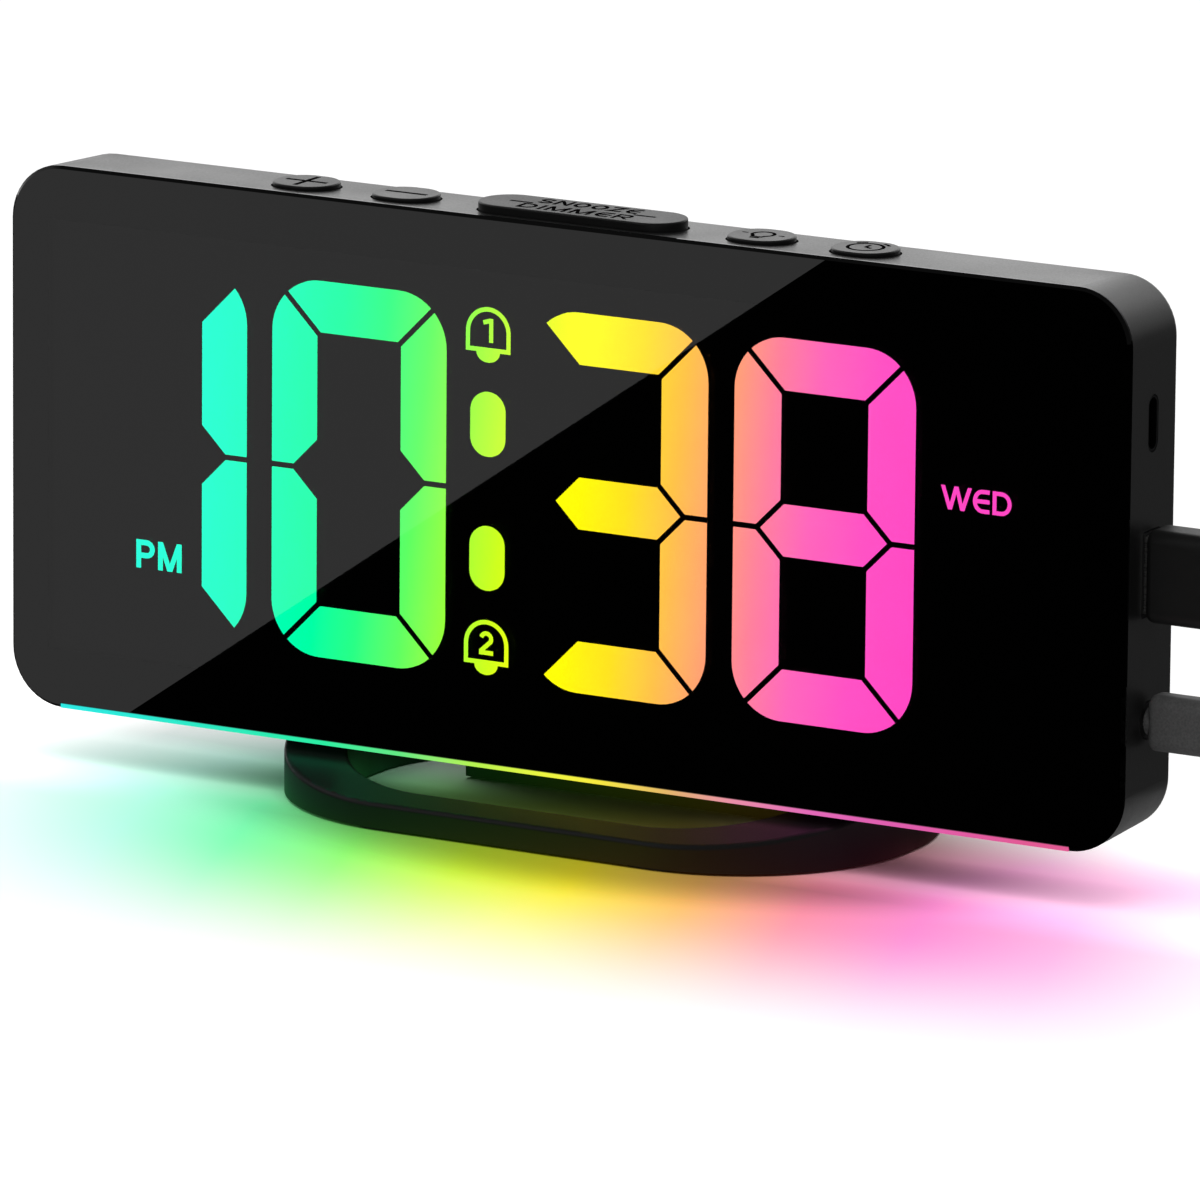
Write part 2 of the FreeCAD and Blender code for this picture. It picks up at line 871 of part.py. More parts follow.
def dc_jack():
    """The power socket: a square case with a round front, a bore and a centre pin."""
    mouth = side_x - 0.2
    z = body_lift + dc_height
    half = dc_jack_side / 2
    inner = side_inside_x
    case = block((mouth - dc_jack_length, port_y - half, z - half), (inner, port_y + half, z + half))
    nose = rod(half, (inner, port_y, z), (1, 0, 0), mouth - inner)
    depth = dc_jack_length - 1.0
    bore = rod(dc_barrel_radius + fit_gap, (mouth - depth, port_y, z), (1, 0, 0), depth)
    pin = rod(dc_pin_radius, (mouth - dc_jack_length, port_y, z), (1, 0, 0), dc_jack_length - 0.5)
    return fused([fused([case, nose]).cut(bore), pin])


def speaker():
    """A small loudspeaker: rim and cone to the grille, magnet to the front."""
    depth = speaker_depth
    profile = [
        (0, magnet_radius), (depth * 0.4, magnet_radius),
        (depth * 0.4, magnet_radius + 1), (depth * 0.8, speaker_radius - 1),
        (depth * 0.8, speaker_radius), (depth - fit_gap, speaker_radius),
        (depth - fit_gap, speaker_radius - 2.2), (depth * 0.75, speaker_radius - 4.5),
        (depth * 0.6, magnet_radius * 0.7), (depth * 0.7, magnet_radius * 0.4),
    ]
    start = (speaker_x, inside_back_y - depth, body_lift + speaker_height)
    return turned(profile, start, (0, 1, 0))


def cell_contacts():
    """The two contact plates under the coin cell."""
    z = body_lift + cell_height
    y = cup_floor_y
    disc = rod(contact_radius, (cell_x, y, z), (0, 1, 0), contact_thickness)
    low, high = contact_radius + contact_gap, contact_radius + contact_gap + contact_strip
    reach = math.sqrt(cell_radius**2 - high**2)
    strip = block((cell_x - reach, y, z + low), (cell_x + reach, y + contact_thickness, z + high))
    return Part.makeCompound([disc, strip])


def backup_cell():
    """The coin cell, with its edge broken."""
    y = cup_floor_y + contact_thickness + fit_gap
    edge = 0.25
    profile = [
        (0, cell_radius - edge), (edge, cell_radius), (cell_thickness - edge, cell_radius),
        (cell_thickness, cell_radius - edge),
    ]
    return turned(profile, (cell_x, y, body_lift + cell_height), (0, 1, 0))


def cell_cover():
    """The flush cover over the coin cell, with a sunk hole for its screw and a finger scoop."""
    corners = box_corners(*cover_centre(), cover_width, cover_height, cover_radius)
    plate = prism(corners, "xz", back_y - cover_thickness + fit_gap / 2, cover_thickness - fit_gap / 2)
    x, z = cover_screw_place()
    hole = rod(cover_screw_radius + 0.15, (x, back_y - cover_thickness, z), (0, 1, 0), cover_thickness)
    sink = rod(cover_screw_head + 0.15, (x, back_y - cover_screw_sink, z), (0, 1, 0), cover_thickness)
    return plate.cut([hole, sink])


def cell_cover_screw():
    """The small screw that holds the cell cover."""
    x, z = cover_screw_place()
    seat = back_y - cover_screw_sink
    head = rod(cover_screw_head, (x, seat, z), (0, 1, 0), cover_screw_sink - fit_gap)
    length = seat - cup_floor_y - 0.5
    shank = rod(cover_screw_radius, (x, seat - length, z), (0, 1, 0), length)
    half = cover_screw_radius * 0.3
    reach = cover_screw_head * 0.65
    slots = [
        block((x - a, back_y - cover_screw_sink / 2, z - b), (x + a, back_y, z + b))
        for a, b in ((reach, half), (half, reach))
    ]
    return fused([head, shank]).cut(slots)


def light_bar():
    """The clear bar in the bottom front edge: a thin lip under the lens, thicker behind it."""
    lip = block(
        (-bar_half, face_y + fit_gap, body_lift),
        (bar_half, face_y + bar_depth, body_lift + bar_lip),
    )
    root = block(
        (-bar_half, face_y + lens_rim + lens_step + fit_gap, body_lift),
        (bar_half, face_y + bar_depth, body_lift + bar_height),
    )
    return fused([lip, root])


def bar_leds_low():
    """The height of the undersides of the light bar's chips."""
    return body_lift + bar_height + fit_gap


def light_bar_board():
    """The narrow board over the light bar."""
    z = bar_leds_low() + bar_led_height
    y = face_y + lens_rim + lens_step + 2 * fit_gap
    half = bar_half - board_margin
    return block((-half, y, z), (half, y + bar_board_width, z + bar_board_thickness))


def light_bar_leds():
    """The colour chips under that board, evenly spread."""
    y = face_y + lens_rim + lens_step + 2 * fit_gap + bar_board_width / 2
    pitch = 2 * (bar_half - board_margin) / bar_led_count
    chips = []
    for i in range(bar_led_count):
        x = (i - (bar_led_count - 1) / 2) * pitch
        chips.append(block(
            (x - bar_led_length / 2, y - bar_led_width / 2, bar_leds_low()),
            (x + bar_led_length / 2, y + bar_led_width / 2, bar_leds_low() + bar_led_height),
        ))
    return Part.makeCompound(chips)


# Buttons


def button_board():
    """The board under the buttons, on the display block's top edge."""
    y = face_y + button_depth
    half_x, half_y = button_board_width / 2, button_board_depth / 2
    return block(
        (-half_x, y - half_y, button_board_z),
        (half_x, y + half_y, button_board_z + board_thickness),
    )


def switch_bodies():
    """The five push switches' cases, each with a well for its plunger."""
    y = face_y + button_depth
    half = switch_side / 2
    cases = []
    for _, x, _ in button_places():
        case = block((x - half, y - half, switch_z), (x + half, y + half, switch_z + switch_height))
        depth = plunger_length - plunger_rise + button_travel + fit_gap
        start = (x, y, switch_z + switch_height - depth)
        cases.append(case.cut(rod(plunger_radius + plunger_fit, start, (0, 0, 1), depth)))
    return Part.makeCompound(cases)


def plunger(x):
    """The moving pin of one switch."""
    y = face_y + button_depth
    return rod(plunger_radius, (x, y, plunger_top_z - plunger_length), (0, 0, 1), plunger_length)


def button_cap(x, width, length, radius, rise):
    """A cap with a softened top edge, a flange that stops it under the wall and a stem."""
    deepest = button_depth + length / 2 + flange_reach
    wall_low = top_z - side_wall - draft_inset * taper_share(deepest)
    flange_top = wall_low - flange_drop
    body = prism(cap_corners(x, width, length, radius, 0), "xy", flange_top, top_z + rise - flange_top)
    body = body.makeFillet(cap_edge, edges_at(body, "Z", top_z + rise))
    flange_low = flange_top - flange_thickness
    flange = prism(
        cap_corners(x, width, length, radius, flange_reach), "xy", flange_low, flange_thickness
    )
    stem = rod(button_stem_radius, (x, face_y + button_depth, plunger_top_z), (0, 0, 1),
               flange_low - plunger_top_z)
    return fused([body, flange, stem])


# Stand


def ring_top(y):
    """The height of the ring's sloping top at a depth y."""
    return ring_front_height + (y + ring_depth / 2) * math.tan(math.radians(ring_slope))


def stand():
    """Ring and neck in one moulding. The ring's top slopes up to the back and cradles the body."""
    tall = ring_top(ring_depth / 2)
    ring = prism(box_corners(0, 0, ring_width, ring_depth, ring_radius), "xy", pad_proud, tall)
    half_w, half_d = ring_width / 2, ring_depth / 2
    low, high = ring_top(-half_d), ring_top(half_d)
    wedge = prism(
        [(-half_d, 0, 0), (half_d, 0, 0), (half_d, high, 0), (-half_d, low, 0)],
        "yz", -half_w, ring_width,
    )
    ring = ring.common(wedge)
    hole = prism(
        box_corners(0, 0, ring_width - 2 * ring_end_bar, ring_depth - 2 * ring_bar, ring_hole_radius),
        "xy", -1, tall + 2,
    )
    ring = ring.cut(hole)
    ring = ring.makeFillet(ring_edge, sloping_edges(ring))
    body_room = block(
        (-half_w, face_y, body_lift), (half_w, back_y + fit_gap, body_lift + neck_height)
    )
    whole = fused([ring.cut(body_room), neck()])
    whole = whole.cut([pad_solid(x, y, pad_proud, pad_thickness + fit_gap / 2, 0.1)
                       for x, y in pad_places()])
    holes = [
        rod(screw_radius + screw_clearance, (side * stand_screw_x, back_y,
                                             body_lift + stand_screw_height),
            (0, 1, 0), stand_screw_reach + 0.5)
        for side in (-1, 1)
    ]
    return whole.cut(holes)


def sloping_edges(ring):
    """The edges round the ring's sloping top."""
    found = []
    for edge in ring.Edges:
        points = [v.Point for v in edge.Vertexes]
        if all(abs(p.z - ring_top(p.y)) < 1e-4 for p in points):
            found.append(edge)
    return found


def neck():
    """The neck: upright from the table, then forward to the body's back, with a scooped back."""
    foot = back_y + neck_gap
    rear = ring_depth / 2 - ring_bar / 2
    top = body_lift + neck_height - neck_throat
    z = pad_proud
    start = Vector(0, foot, z)
    chin = Vector(0, foot, z + neck_throat)
    cheek = Vector(0, back_y, body_lift + neck_throat)
    crown = Vector(0, back_y, top)
    ridge = Vector(0, back_y + neck_thickness, top)
    tail = Vector(0, rear, ring_top(rear) - ring_edge)
    heel = Vector(0, rear, z)
    scoop = Vector(0, ridge.y + (rear - ridge.y) * 0.3, ridge.z + (tail.z - ridge.z) * 0.72)
    curl = Vector(0, (foot + back_y) / 2 + 1, (chin.z + cheek.z) / 2 + 1)
    side = Part.Wire([
        Part.LineSegment(start, chin).toShape(),
        Part.Arc(chin, curl, cheek).toShape(),
        Part.LineSegment(cheek, crown).toShape(),
        Part.LineSegment(crown, ridge).toShape(),
        Part.Arc(ridge, scoop, tail).toShape(),
        Part.LineSegment(tail, heel).toShape(),
        Part.LineSegment(heel, start).toShape(),
    ])
    half, top_half = neck_half_width, neck_top_half_width
    thick = Part.Face(side)
    thick.translate(Vector(-half, 0, 0))
    thick = thick.extrude(Vector(2 * half, 0, 0))
    front = prism(
        [
            (half, z, 0), (half, body_lift + neck_throat, neck_corner), (top_half, top, neck_corner),
            (-top_half, top, neck_corner), (-half, body_lift + neck_throat, neck_corner),
            (-half, z, 0),
        ],
        "xz", back_y - 1, ring_depth,
    )
    return thick.common(front)


def pad_places():
    """The four pads, under the ends of the ring's straight bars."""
    x = ring_width / 2 - ring_radius
    y = ring_depth / 2 - ring_bar / 2
    return [(side * x, way * y) for side in (-1, 1) for way in (-1, 1)]


def pad_solid(x, y, low, high, grow):
    """One pad's rounded strip along the bar."""
    corners = box_corners(x, y, 4 * pad_radius + 2 * grow, 2 * (pad_radius + grow) - 0.02,
                          pad_radius + grow - 0.02)
    return prism(corners, "xy", low, high - low)


def foot_pads():
    """The soft pads that the clock stands on."""
    return Part.makeCompound([pad_solid(x, y, 0, pad_thickness, 0) for x, y in pad_places()])


def stand_screws():
    """Two screws from inside the casing into the neck."""
    screws = []
    for side in (-1, 1):
        one = screw(0, 0, 0, back_wall + stand_screw_reach)
        one.rotate(Vector(0, 0, 0), Vector(0, 0, 1), 180)
        one.translate(Vector(side * stand_screw_x, inside_back_y, body_lift + stand_screw_height))
        screws.append(one)
    return Part.makeCompound(screws)


# Leads


def placed(shape, start, way, flat):
    """A plug's piece moved from its own X axis to start, pointing its lead end along way."""
    if flat:
        shape.rotate(Vector(0, 0, 0), Vector(1, 0, 0), 90)
    turn = math.degrees(math.atan2(way[1], way[0]))
    shape.rotate(Vector(0, 0, 0), Vector(0, 0, 1), turn)
    shape.translate(Vector(*start))
    return shape


def relief(start):
    """The tapered sleeve where a lead leaves its plug, with three grooves."""
    profile = []
    ribs = 4
    for i in range(ribs):
        radius = relief_radius + (relief_end_radius - relief_radius) * i / (ribs - 1)
        low = start + relief_length * i / ribs
        high = low + relief_length / ribs * (0.7 if i < ribs - 1 else 1.0)
        profile += [(low, radius), (high, radius)]
        if i < ribs - 1:
            following = start + relief_length * (i + 1) / ribs
            profile += [(high, radius - relief_groove), (following, radius - relief_groove)]
    return turned([(a - start, r) for a, r in profile], (start, 0, 0), (1, 0, 0))


def plug_body(width, thickness, radius, length):
    """A moulded grip with softened ends, and the lead's sleeve behind it."""
    grip = prism(box_corners(0, 0, thickness, width, radius), "yz", 0, length)
    grip = grip.makeFillet(radius * 0.6, edges_at(grip, "X", 0) + edges_at(grip, "X", length))
    return fused([grip, relief(length)])


def shell_tube(width, thickness, radius, length):
    """A plug's metal shell with its tongue, in front of the grip."""
    wall = usb_shell_wall

    def sleeve(grow, start, end):
        size = box_corners(0, 0, thickness + 2 * grow, width + 2 * grow, max(radius + grow, 0))
        return prism(size, "yz", start, end - start)

    tube = sleeve(0, -length, 0).cut(sleeve(-wall, -length, -wall))
    half = width / 2 - wall
    tongue = block((1 - length, wall - thickness / 2, -half), (-wall, -fit_gap, half))
    return fused([tube, tongue.common(sleeve(-wall, -length, 0))])


def coil_of(centre, mean_radius, turns, start_angle, spin):
    """A coil's sizes: each layer spirals in or out by the same number of turns."""
    per_layer = turns / coil_layers
    spread = per_layer * lead_pitch / 2
    return {
        "centre": centre, "outer": mean_radius + spread, "inner": mean_radius - spread,
        "per_layer": per_layer, "turns": turns, "start": start_angle, "spin": spin,
    }


def coil_point(coil, turn):
    """The lead's centre after so many turns: in and out in layers, from the top one down.

    The radius runs steadily between the outer and inner ones, and the height drops by one
    layer in the half turn about each place where the radius turns back.
    """
    layer = min(int(turn / coil["per_layer"]), coil_layers - 1)
    share = turn / coil["per_layer"] - layer
    if layer % 2:
        share = 1 - share
    radius = coil["outer"] + (coil["inner"] - coil["outer"]) * share
    height = lead_floor_gap + lead_diameter / 2 + (coil_layers - 1) * lead_pitch
    for change in range(1, coil_layers):
        done = min(max((turn - change * coil["per_layer"]) * 2 + 0.5, 0), 1)
        height -= lead_pitch * done * done * (3 - 2 * done)
    angle = math.radians(coil["start"]) + coil["spin"] * turn * 2 * math.pi
    return Vector(
        coil["centre"][0] + radius * math.cos(angle),
        coil["centre"][1] + radius * math.sin(angle),
        height,
    )


def coil_way(coil, turn):
    """The lead's direction at that place in the coil."""
    step = 1e-4
    low, high = max(turn - step, 0), min(turn + step, coil["turns"])
    way = coil_point(coil, high) - coil_point(coil, low)
    return way.normalize()


def biarc(start, start_way, end, end_way):
    """Two tangent arcs between two points with given directions."""
    chord = end - start
    ways = start_way + end_way
    bend = 2 * (1 - start_way.dot(end_way))
    along = chord.dot(ways)
    if bend < 1e-9:
        reach = chord.dot(chord) / (2 * along)
    else:
        reach = (math.sqrt(along * along + bend * chord.dot(chord)) - along) / bend
    middle = (start + end + (start_way - end_way) * reach) / 2
    return arc_from(start, start_way, middle) + arc_from(middle, None, end, end_way)


def arc_from(start, start_way, end, end_way=None):
    """The arc between two points that leaves along start_way, or arrives along end_way."""
    chord = end - start
    length = chord.Length
    way = start_way if end_way is None else end_way
    across = way - chord * (way.dot(chord) / length**2)
    if across.Length < 1e-7:
        return [Part.LineSegment(start, end).toShape()]
    turn = way.getAngle(chord)
    bulge = length / 2 * math.tan(turn / 2)
    across.normalize()
    side = 1 if end_way is None else -1
    middle = (start + end) / 2 + across * bulge * side
    return [Part.Arc(start, middle, end).toShape()]


def coil_edges(coil, tail):
    """A short straight, quarter turns as pairs of arcs, and the rise to the plug's height."""
    start, way = coil_point(coil, 0), coil_way(coil, 0)
    edges = [Part.LineSegment(start - way * lead_diameter, start).toShape()]
    count = math.ceil(coil["turns"] * 4)
    for i in range(count):
        low, high = coil["turns"] * i / count, coil["turns"] * (i + 1) / count
        edges += biarc(coil_point(coil, low), coil_way(coil, low),
                       coil_point(coil, high), coil_way(coil, high))
    last, way = coil_point(coil, coil["turns"]), coil_way(coil, coil["turns"])
    end = coil_tail_end(coil, tail)
    edges += biarc(last, way, end - way * lead_diameter, way)
    edges.append(Part.LineSegment(end - way * lead_diameter, end).toShape())
    return edges


def coil_tail_end(coil, height):
    """Where the lead reaches its far plug, at the height of that plug's middle."""
    way = coil_way(coil, coil["turns"])
    end = coil_point(coil, coil["turns"]) + way * (tail_length + lead_diameter)
    return Vector(end.x, end.y, height)


def swept(edges, name):
    """A round tube along joined edges. Its volume is set against its section and length."""
    path = Part.Wire(edges)
    first = edges[0]
    start = first.valueAt(first.FirstParameter)
    way = first.tangentAt(first.FirstParameter)
    section = Part.Wire([Part.Circle(start, way, lead_diameter / 2).toShape()])
    tube = path.makePipeShell([section], True, False)
    wanted = math.pi * (lead_diameter / 2) ** 2 * path.Length
    print(f"{name}: {path.Length:.1f} mm long, volume {tube.Volume / wanted:.4f} of its section times length")
    return tube


def route_edges(points, name):
    """Straight runs joined by tangent arcs, each as large as its two runs allow."""
    points = [Vector(*p) for p in points]
    edges, last, radii = [], points[0], []
    for before, corner, after in zip(points, points[1:], points[2:]):
        back, on = before - corner, after - corner
        run = min(back.Length, on.Length)
        back.normalize()
        on.normalize()
        half_turn = (math.pi - back.getAngle(on)) / 2
        reach = 0.45 * run
        radii.append(reach / math.tan(half_turn))
        start, end = corner + back * reach, corner + on * reach
        inward = back + on
        inward.normalize()
        middle = corner + inward * (radii[-1] / math.cos(half_turn) - radii[-1])
        edges += [Part.LineSegment(last, start).toShape(), Part.Arc(start, middle, end).toShape()]
        last = end
    edges.append(Part.LineSegment(last, points[-1]).toShape())
    print(f"{name}: bend radii", [round(r, 1) for r in radii])
    return edges


def least_gap(coil):
    """The least clear distance between a coil's turns, measured on points of its line."""
    per_turn = 48
    count = int(coil["turns"] * per_turn)
    points = [coil_point(coil, i / per_turn) for i in range(count + 1)]
    least = min(
        a.distanceToPoint(b)
        for i, a in enumerate(points)
        for b in points[i + per_turn // 2:]
    )
    return least - lead_diameter


charge_start = Vector(
    side_x + usb_body_gap + usb_body_length + relief_length, port_y, body_lift + usb_a_height
)
power_start = Vector(
    side_x + fit_gap + dc_collar_length + dc_body_length + relief_length, port_y,
    body_lift + dc_height,
)

# The leads' points and coils are placed out from the body's right side
charge_coil = coil_of((side_x + 53.0, 14.5), 19.0, 7.208, 15, 1)
power_coil = coil_of((side_x + 70.0, -33.0), 18.6, 9.647, 88, -1)
charge_route = [
    (39.5, -9.85, 51.95),
    (54.0, -13.0, 41.5),
    (66.5, -13.5, 31.5),
    (76.8, -8.1, 21.6),
]
power_route = [
    (36.6, -9.85, 28.9),
]
charge_end_height = small_body_thickness / 2 + lead_floor_gap
power_end_height = usb_body_thickness / 2 + lead_floor_gap


def lead(start, points, coil, name):
    """The free stretch of a lead, from its plug's sleeve to its coil, which it meets in line."""
    way = coil_way(coil, 0)
    last = coil_point(coil, 0) - way * lead_diameter
    middle = [Vector(side_x, 0, 0) + Vector(*p) for p in points]
    return swept(route_edges([start] + middle + [last - way * lead_approach, last], name), name)


def coil_solid(coil, height, name):
    """A lead's put-away length, up to its far plug."""
    print(f"{name}: least gap between turns {least_gap(coil):.2f} mm")
    return swept(coil_edges(coil, height), name)


def far_place(coil, height, length):
    """Where the far plug's grip starts, and which way its lead end points."""
    way = coil_way(coil, coil["turns"])
    flat_way = Vector(way.x, way.y, 0).normalize()
    return coil_tail_end(coil, height) + flat_way * (relief_length + length), flat_way * -1


def usb_grip():
    """The larger plug's grip."""
    return plug_body(usb_body_width, usb_body_thickness, usb_body_radius, usb_body_length)


def usb_shell():
    """The larger plug's metal shell."""
    return shell_tube(usb_shell_width, usb_shell_thickness, 0, usb_shell_length)


def power_grip():
    """The power plug's rounded grip, with a thinner collar against the casing."""
    grip = plug_body(dc_body_width, dc_body_thickness, dc_body_radius, dc_body_length)
    collar = rod(dc_collar_radius, (-dc_collar_length, 0, 0), (1, 0, 0), dc_collar_length + 1)
    return fused([grip, collar])


def power_barrel():
    """The power plug's metal barrel, bored for the socket's pin."""
    reach = dc_jack_length - 2.0
    start = -dc_collar_length - reach
    barrel = rod(dc_barrel_radius, (start, 0, 0), (1, 0, 0), reach)
    return barrel.cut(rod(dc_pin_radius + fit_gap, (start, 0, 0), (1, 0, 0), reach - 0.5))


parts = {
    "rear_casing": rear_casing(),
    "front_lens": front_lens(),
    "display_block": display_block(),
    "display_board": display_board(),
    "display_leds": display_leds(),
    "main_board": main_board(),
    "main_chips": main_chips(),
    "main_board_screws": board_screws(),
    "board_link": board_link(),
    "usb_c_port": usb_c_port(),
    "usb_a_port": usb_a_port(),
    "power_socket": dc_jack(),
    "speaker": speaker(),
    "cell_contacts": cell_contacts(),
    "backup_cell": backup_cell(),
    "cell_cover": cell_cover(),
    "cell_cover_screw": cell_cover_screw(),
    "light_bar": light_bar(),
    "light_bar_board": light_bar_board(),
    "light_bar_leds": light_bar_leds(),
    "button_board": button_board(),
    "switch_bodies": switch_bodies(),
    "stand": stand(),
    "stand_screws": stand_screws(),
    "foot_pads": foot_pads(),
}
parts["casing_screws"] = Part.makeCompound(
    [screw(x, screw_seat_y, z, screw_length) for x, z in screw_places()]
)

unlit = []
for name, (centre_x, lit) in digits.items():
    faces = digit_faces(centre_x, 0)
    shown = [guide(face) for face in faces if segment_letter(face, centre_x) in lit]
    unlit += [guide(face) for face in faces if segment_letter(face, centre_x) not in lit]
    parts[f"{name}_segments"] = Part.makeCompound(shown)
parts["unlit_segments"] = Part.makeCompound(unlit)
parts["colon_dots"] = Part.makeCompound([guide(face) for face in colon_faces(0)])
parts["alarm_signs"] = Part.makeCompound([guide(face) for face in bell_faces(0)])
lower_word, upper_word = meridiem_faces(0)
parts["afternoon_word"] = guide(lower_word)
weekdays = weekday_faces(0)
parts["third_weekday_word"] = guide(weekdays.pop(2))
parts["unlit_words"] = Part.makeCompound([guide(face) for face in [upper_word] + weekdays])

for name, x, size in button_places():
    parts[f"{name}_button"] = button_cap(x, *size)
    parts[f"{name}_plunger"] = plunger(x)

parts["charge_lead"] = lead(charge_start, charge_route, charge_coil, "charge_lead")
parts["charge_lead_coil"] = coil_solid(charge_coil, charge_end_height, "charge_lead_coil")
parts["power_lead"] = lead(power_start, power_route, power_coil, "power_lead")
parts["power_lead_coil"] = coil_solid(power_coil, power_end_height, "power_lead_coil")
plug_at = (charge_start - Vector(usb_body_length + relief_length, 0, 0), (1, 0))
parts["charge_plug"] = placed(usb_grip(), *plug_at, False)
parts["charge_plug_shell"] = placed(usb_shell(), *plug_at, False)
plug_at = (power_start - Vector(dc_body_length + relief_length, 0, 0), (1, 0))
parts["power_plug"] = placed(power_grip(), *plug_at, False)
parts["power_plug_barrel"] = placed(power_barrel(), *plug_at, False)
plug_at = far_place(charge_coil, charge_end_height, small_body_length)
parts["charge_end_plug"] = placed(
    plug_body(small_body_width, small_body_thickness, 2.6, small_body_length), *plug_at, True
)
parts["charge_end_shell"] = placed(
    shell_tube(small_shell_width, small_shell_thickness, small_shell_thickness / 2 - 0.01,
               small_shell_length),
    *plug_at, True,
)
plug_at = far_place(power_coil, power_end_height, usb_body_length)
parts["power_end_plug"] = placed(usb_grip(), *plug_at, True)
parts["power_end_shell"] = placed(usb_shell(), *plug_at, True)

os.makedirs("parts", exist_ok=True)
for name, shape in parts.items():
    shape.exportStep(f"parts/{name}.step")
print(len(parts), "parts")
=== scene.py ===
# %% [markdown]
# # A digital calendar clock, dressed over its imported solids
#
# The clock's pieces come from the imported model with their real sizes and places.
# This lesson gives them their finishes, adds the printed letters and signs, lays out
# the two leads and lights the whole as a small studio would.

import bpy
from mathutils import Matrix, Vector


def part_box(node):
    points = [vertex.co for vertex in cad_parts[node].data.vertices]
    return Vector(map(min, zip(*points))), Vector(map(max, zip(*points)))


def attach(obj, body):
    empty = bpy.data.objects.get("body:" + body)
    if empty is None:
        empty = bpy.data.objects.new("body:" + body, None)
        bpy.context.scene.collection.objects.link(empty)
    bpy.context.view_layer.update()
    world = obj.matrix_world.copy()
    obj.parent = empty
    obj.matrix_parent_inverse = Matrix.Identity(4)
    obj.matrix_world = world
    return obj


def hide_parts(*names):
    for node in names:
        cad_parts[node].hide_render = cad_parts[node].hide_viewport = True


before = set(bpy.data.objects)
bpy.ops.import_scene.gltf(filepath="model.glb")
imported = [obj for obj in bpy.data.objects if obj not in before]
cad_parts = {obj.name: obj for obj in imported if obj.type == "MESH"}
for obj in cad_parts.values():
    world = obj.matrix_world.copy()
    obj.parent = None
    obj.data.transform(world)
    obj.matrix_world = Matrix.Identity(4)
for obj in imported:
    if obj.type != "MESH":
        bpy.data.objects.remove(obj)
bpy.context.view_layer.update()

# %% [markdown]
# ## The camera
#
# The photograph was taken from some two metres away with a long lens, so the clock
# shows almost no perspective. A camera could be pointed by a Track To constraint, but
# a small roll is wanted too, so its three axes are worked out and set as a matrix.

# %% Place the camera
import math

import bmesh
import bpy
import numpy as np
from mathutils import Matrix, Vector

mm = 0.001
photo_width = 1200

camera_turn, camera_lift, camera_roll = (math.radians(a) for a in (29.661, 12.774, 0.509))
camera_target = Vector((8.107, -18.4, 38.31)) * mm
camera_distance = 2.0158
focal_pixels = 12971.7


def camera_matrix(turn, lift, roll, target, distance):
    """Axes from the turn about the upright, the lift over the floor and the roll."""
    back = Vector((
        math.sin(turn) * math.cos(lift), -math.cos(turn) * math.cos(lift), math.sin(lift)
    ))
    level = Vector((math.cos(turn), math.sin(turn), 0))
    upward = back.cross(level)
    right = level * math.cos(roll) + upward * math.sin(roll)
    up = upward * math.cos(roll) - level * math.sin(roll)
    matrix = Matrix((right, up, back)).transposed().to_4x4()
    matrix.translation = target + back * distance
    return matrix


camera = bpy.data.objects.new("portrait_camera", bpy.data.cameras.new("portrait_camera"))
bpy.context.scene.collection.objects.link(camera)
camera.matrix_world = camera_matrix(
    camera_turn, camera_lift, camera_roll, camera_target, camera_distance
)
camera.data.lens = focal_pixels / photo_width * camera.data.sensor_width
bpy.context.scene.camera = camera
print("camera at", tuple(round(v, 3) for v in camera.matrix_world.translation))

# %% [markdown]
# ## The two leads
#
# A lead leaves each plug straight, sinks in a loose curve to the floor and lies there
# in a round coil just outside the picture. A chain of simulated links could find such a
# curve, but a few well placed points on one NURBS line give it with more control. The
# coil's turns are more points of the same line: the radius runs in and out while the
# height drops a layer at each turning place.

# %% Points of a coil and of the run that leads to it
lead_diameter = 3.5
lead_pitch = 3.95
lead_floor_gap = 0.15
coil_layers = 4
points_per_turn = 16
approach_length = 13.0
tail_length = 14.0


def coil_points(centre, mean_radius, turns, start_angle, spin):
    """Each layer's radius goes steadily from outer to inner or back, and the height
    eases down by one pitch in the half turn about each change of layer."""
    per_layer = turns / coil_layers
    spread = per_layer * lead_pitch / 2
    turn = np.linspace(0, turns, int(turns * points_per_turn) + 1)
    layer = np.minimum((turn / per_layer).astype(int), coil_layers - 1)
    share = turn / per_layer - layer
    share = np.where(layer % 2, 1 - share, share)
    radius = mean_radius + spread - 2 * spread * share
    top_layer = lead_floor_gap + lead_diameter / 2 + (coil_layers - 1) * lead_pitch
    height = np.full(turn.shape, top_layer)
    for change in range(1, coil_layers):
        done = np.clip((turn - change * per_layer) * 2 + 0.5, 0, 1)
        height -= lead_pitch * done * done * (3 - 2 * done)
    angle = np.radians(start_angle) + spin * turn * 2 * np.pi
    return np.stack([
        centre[0] + radius * np.cos(angle), centre[1] + radius * np.sin(angle), height
    ], axis=1)


def unit(way):
    """The same direction with a length of one."""
    return way / np.linalg.norm(way)


def lead_points(exit_point, route, coil, end_height):
    """The run from the plug, the coil it meets in line, and the short tail to the far plug."""
    into, out = unit(coil[1] - coil[0]), unit(coil[-1] - coil[-2])
    before = coil[0] - into * lead_diameter
    end = coil[-1] + out * (tail_length + lead_diameter)
    end[2] = end_height
    level_out = unit(out * (1, 1, 0))
    return np.array([
        exit_point, *route, before - into * approach_length, before,
        *coil, end - level_out * lead_diameter, end,
    ])


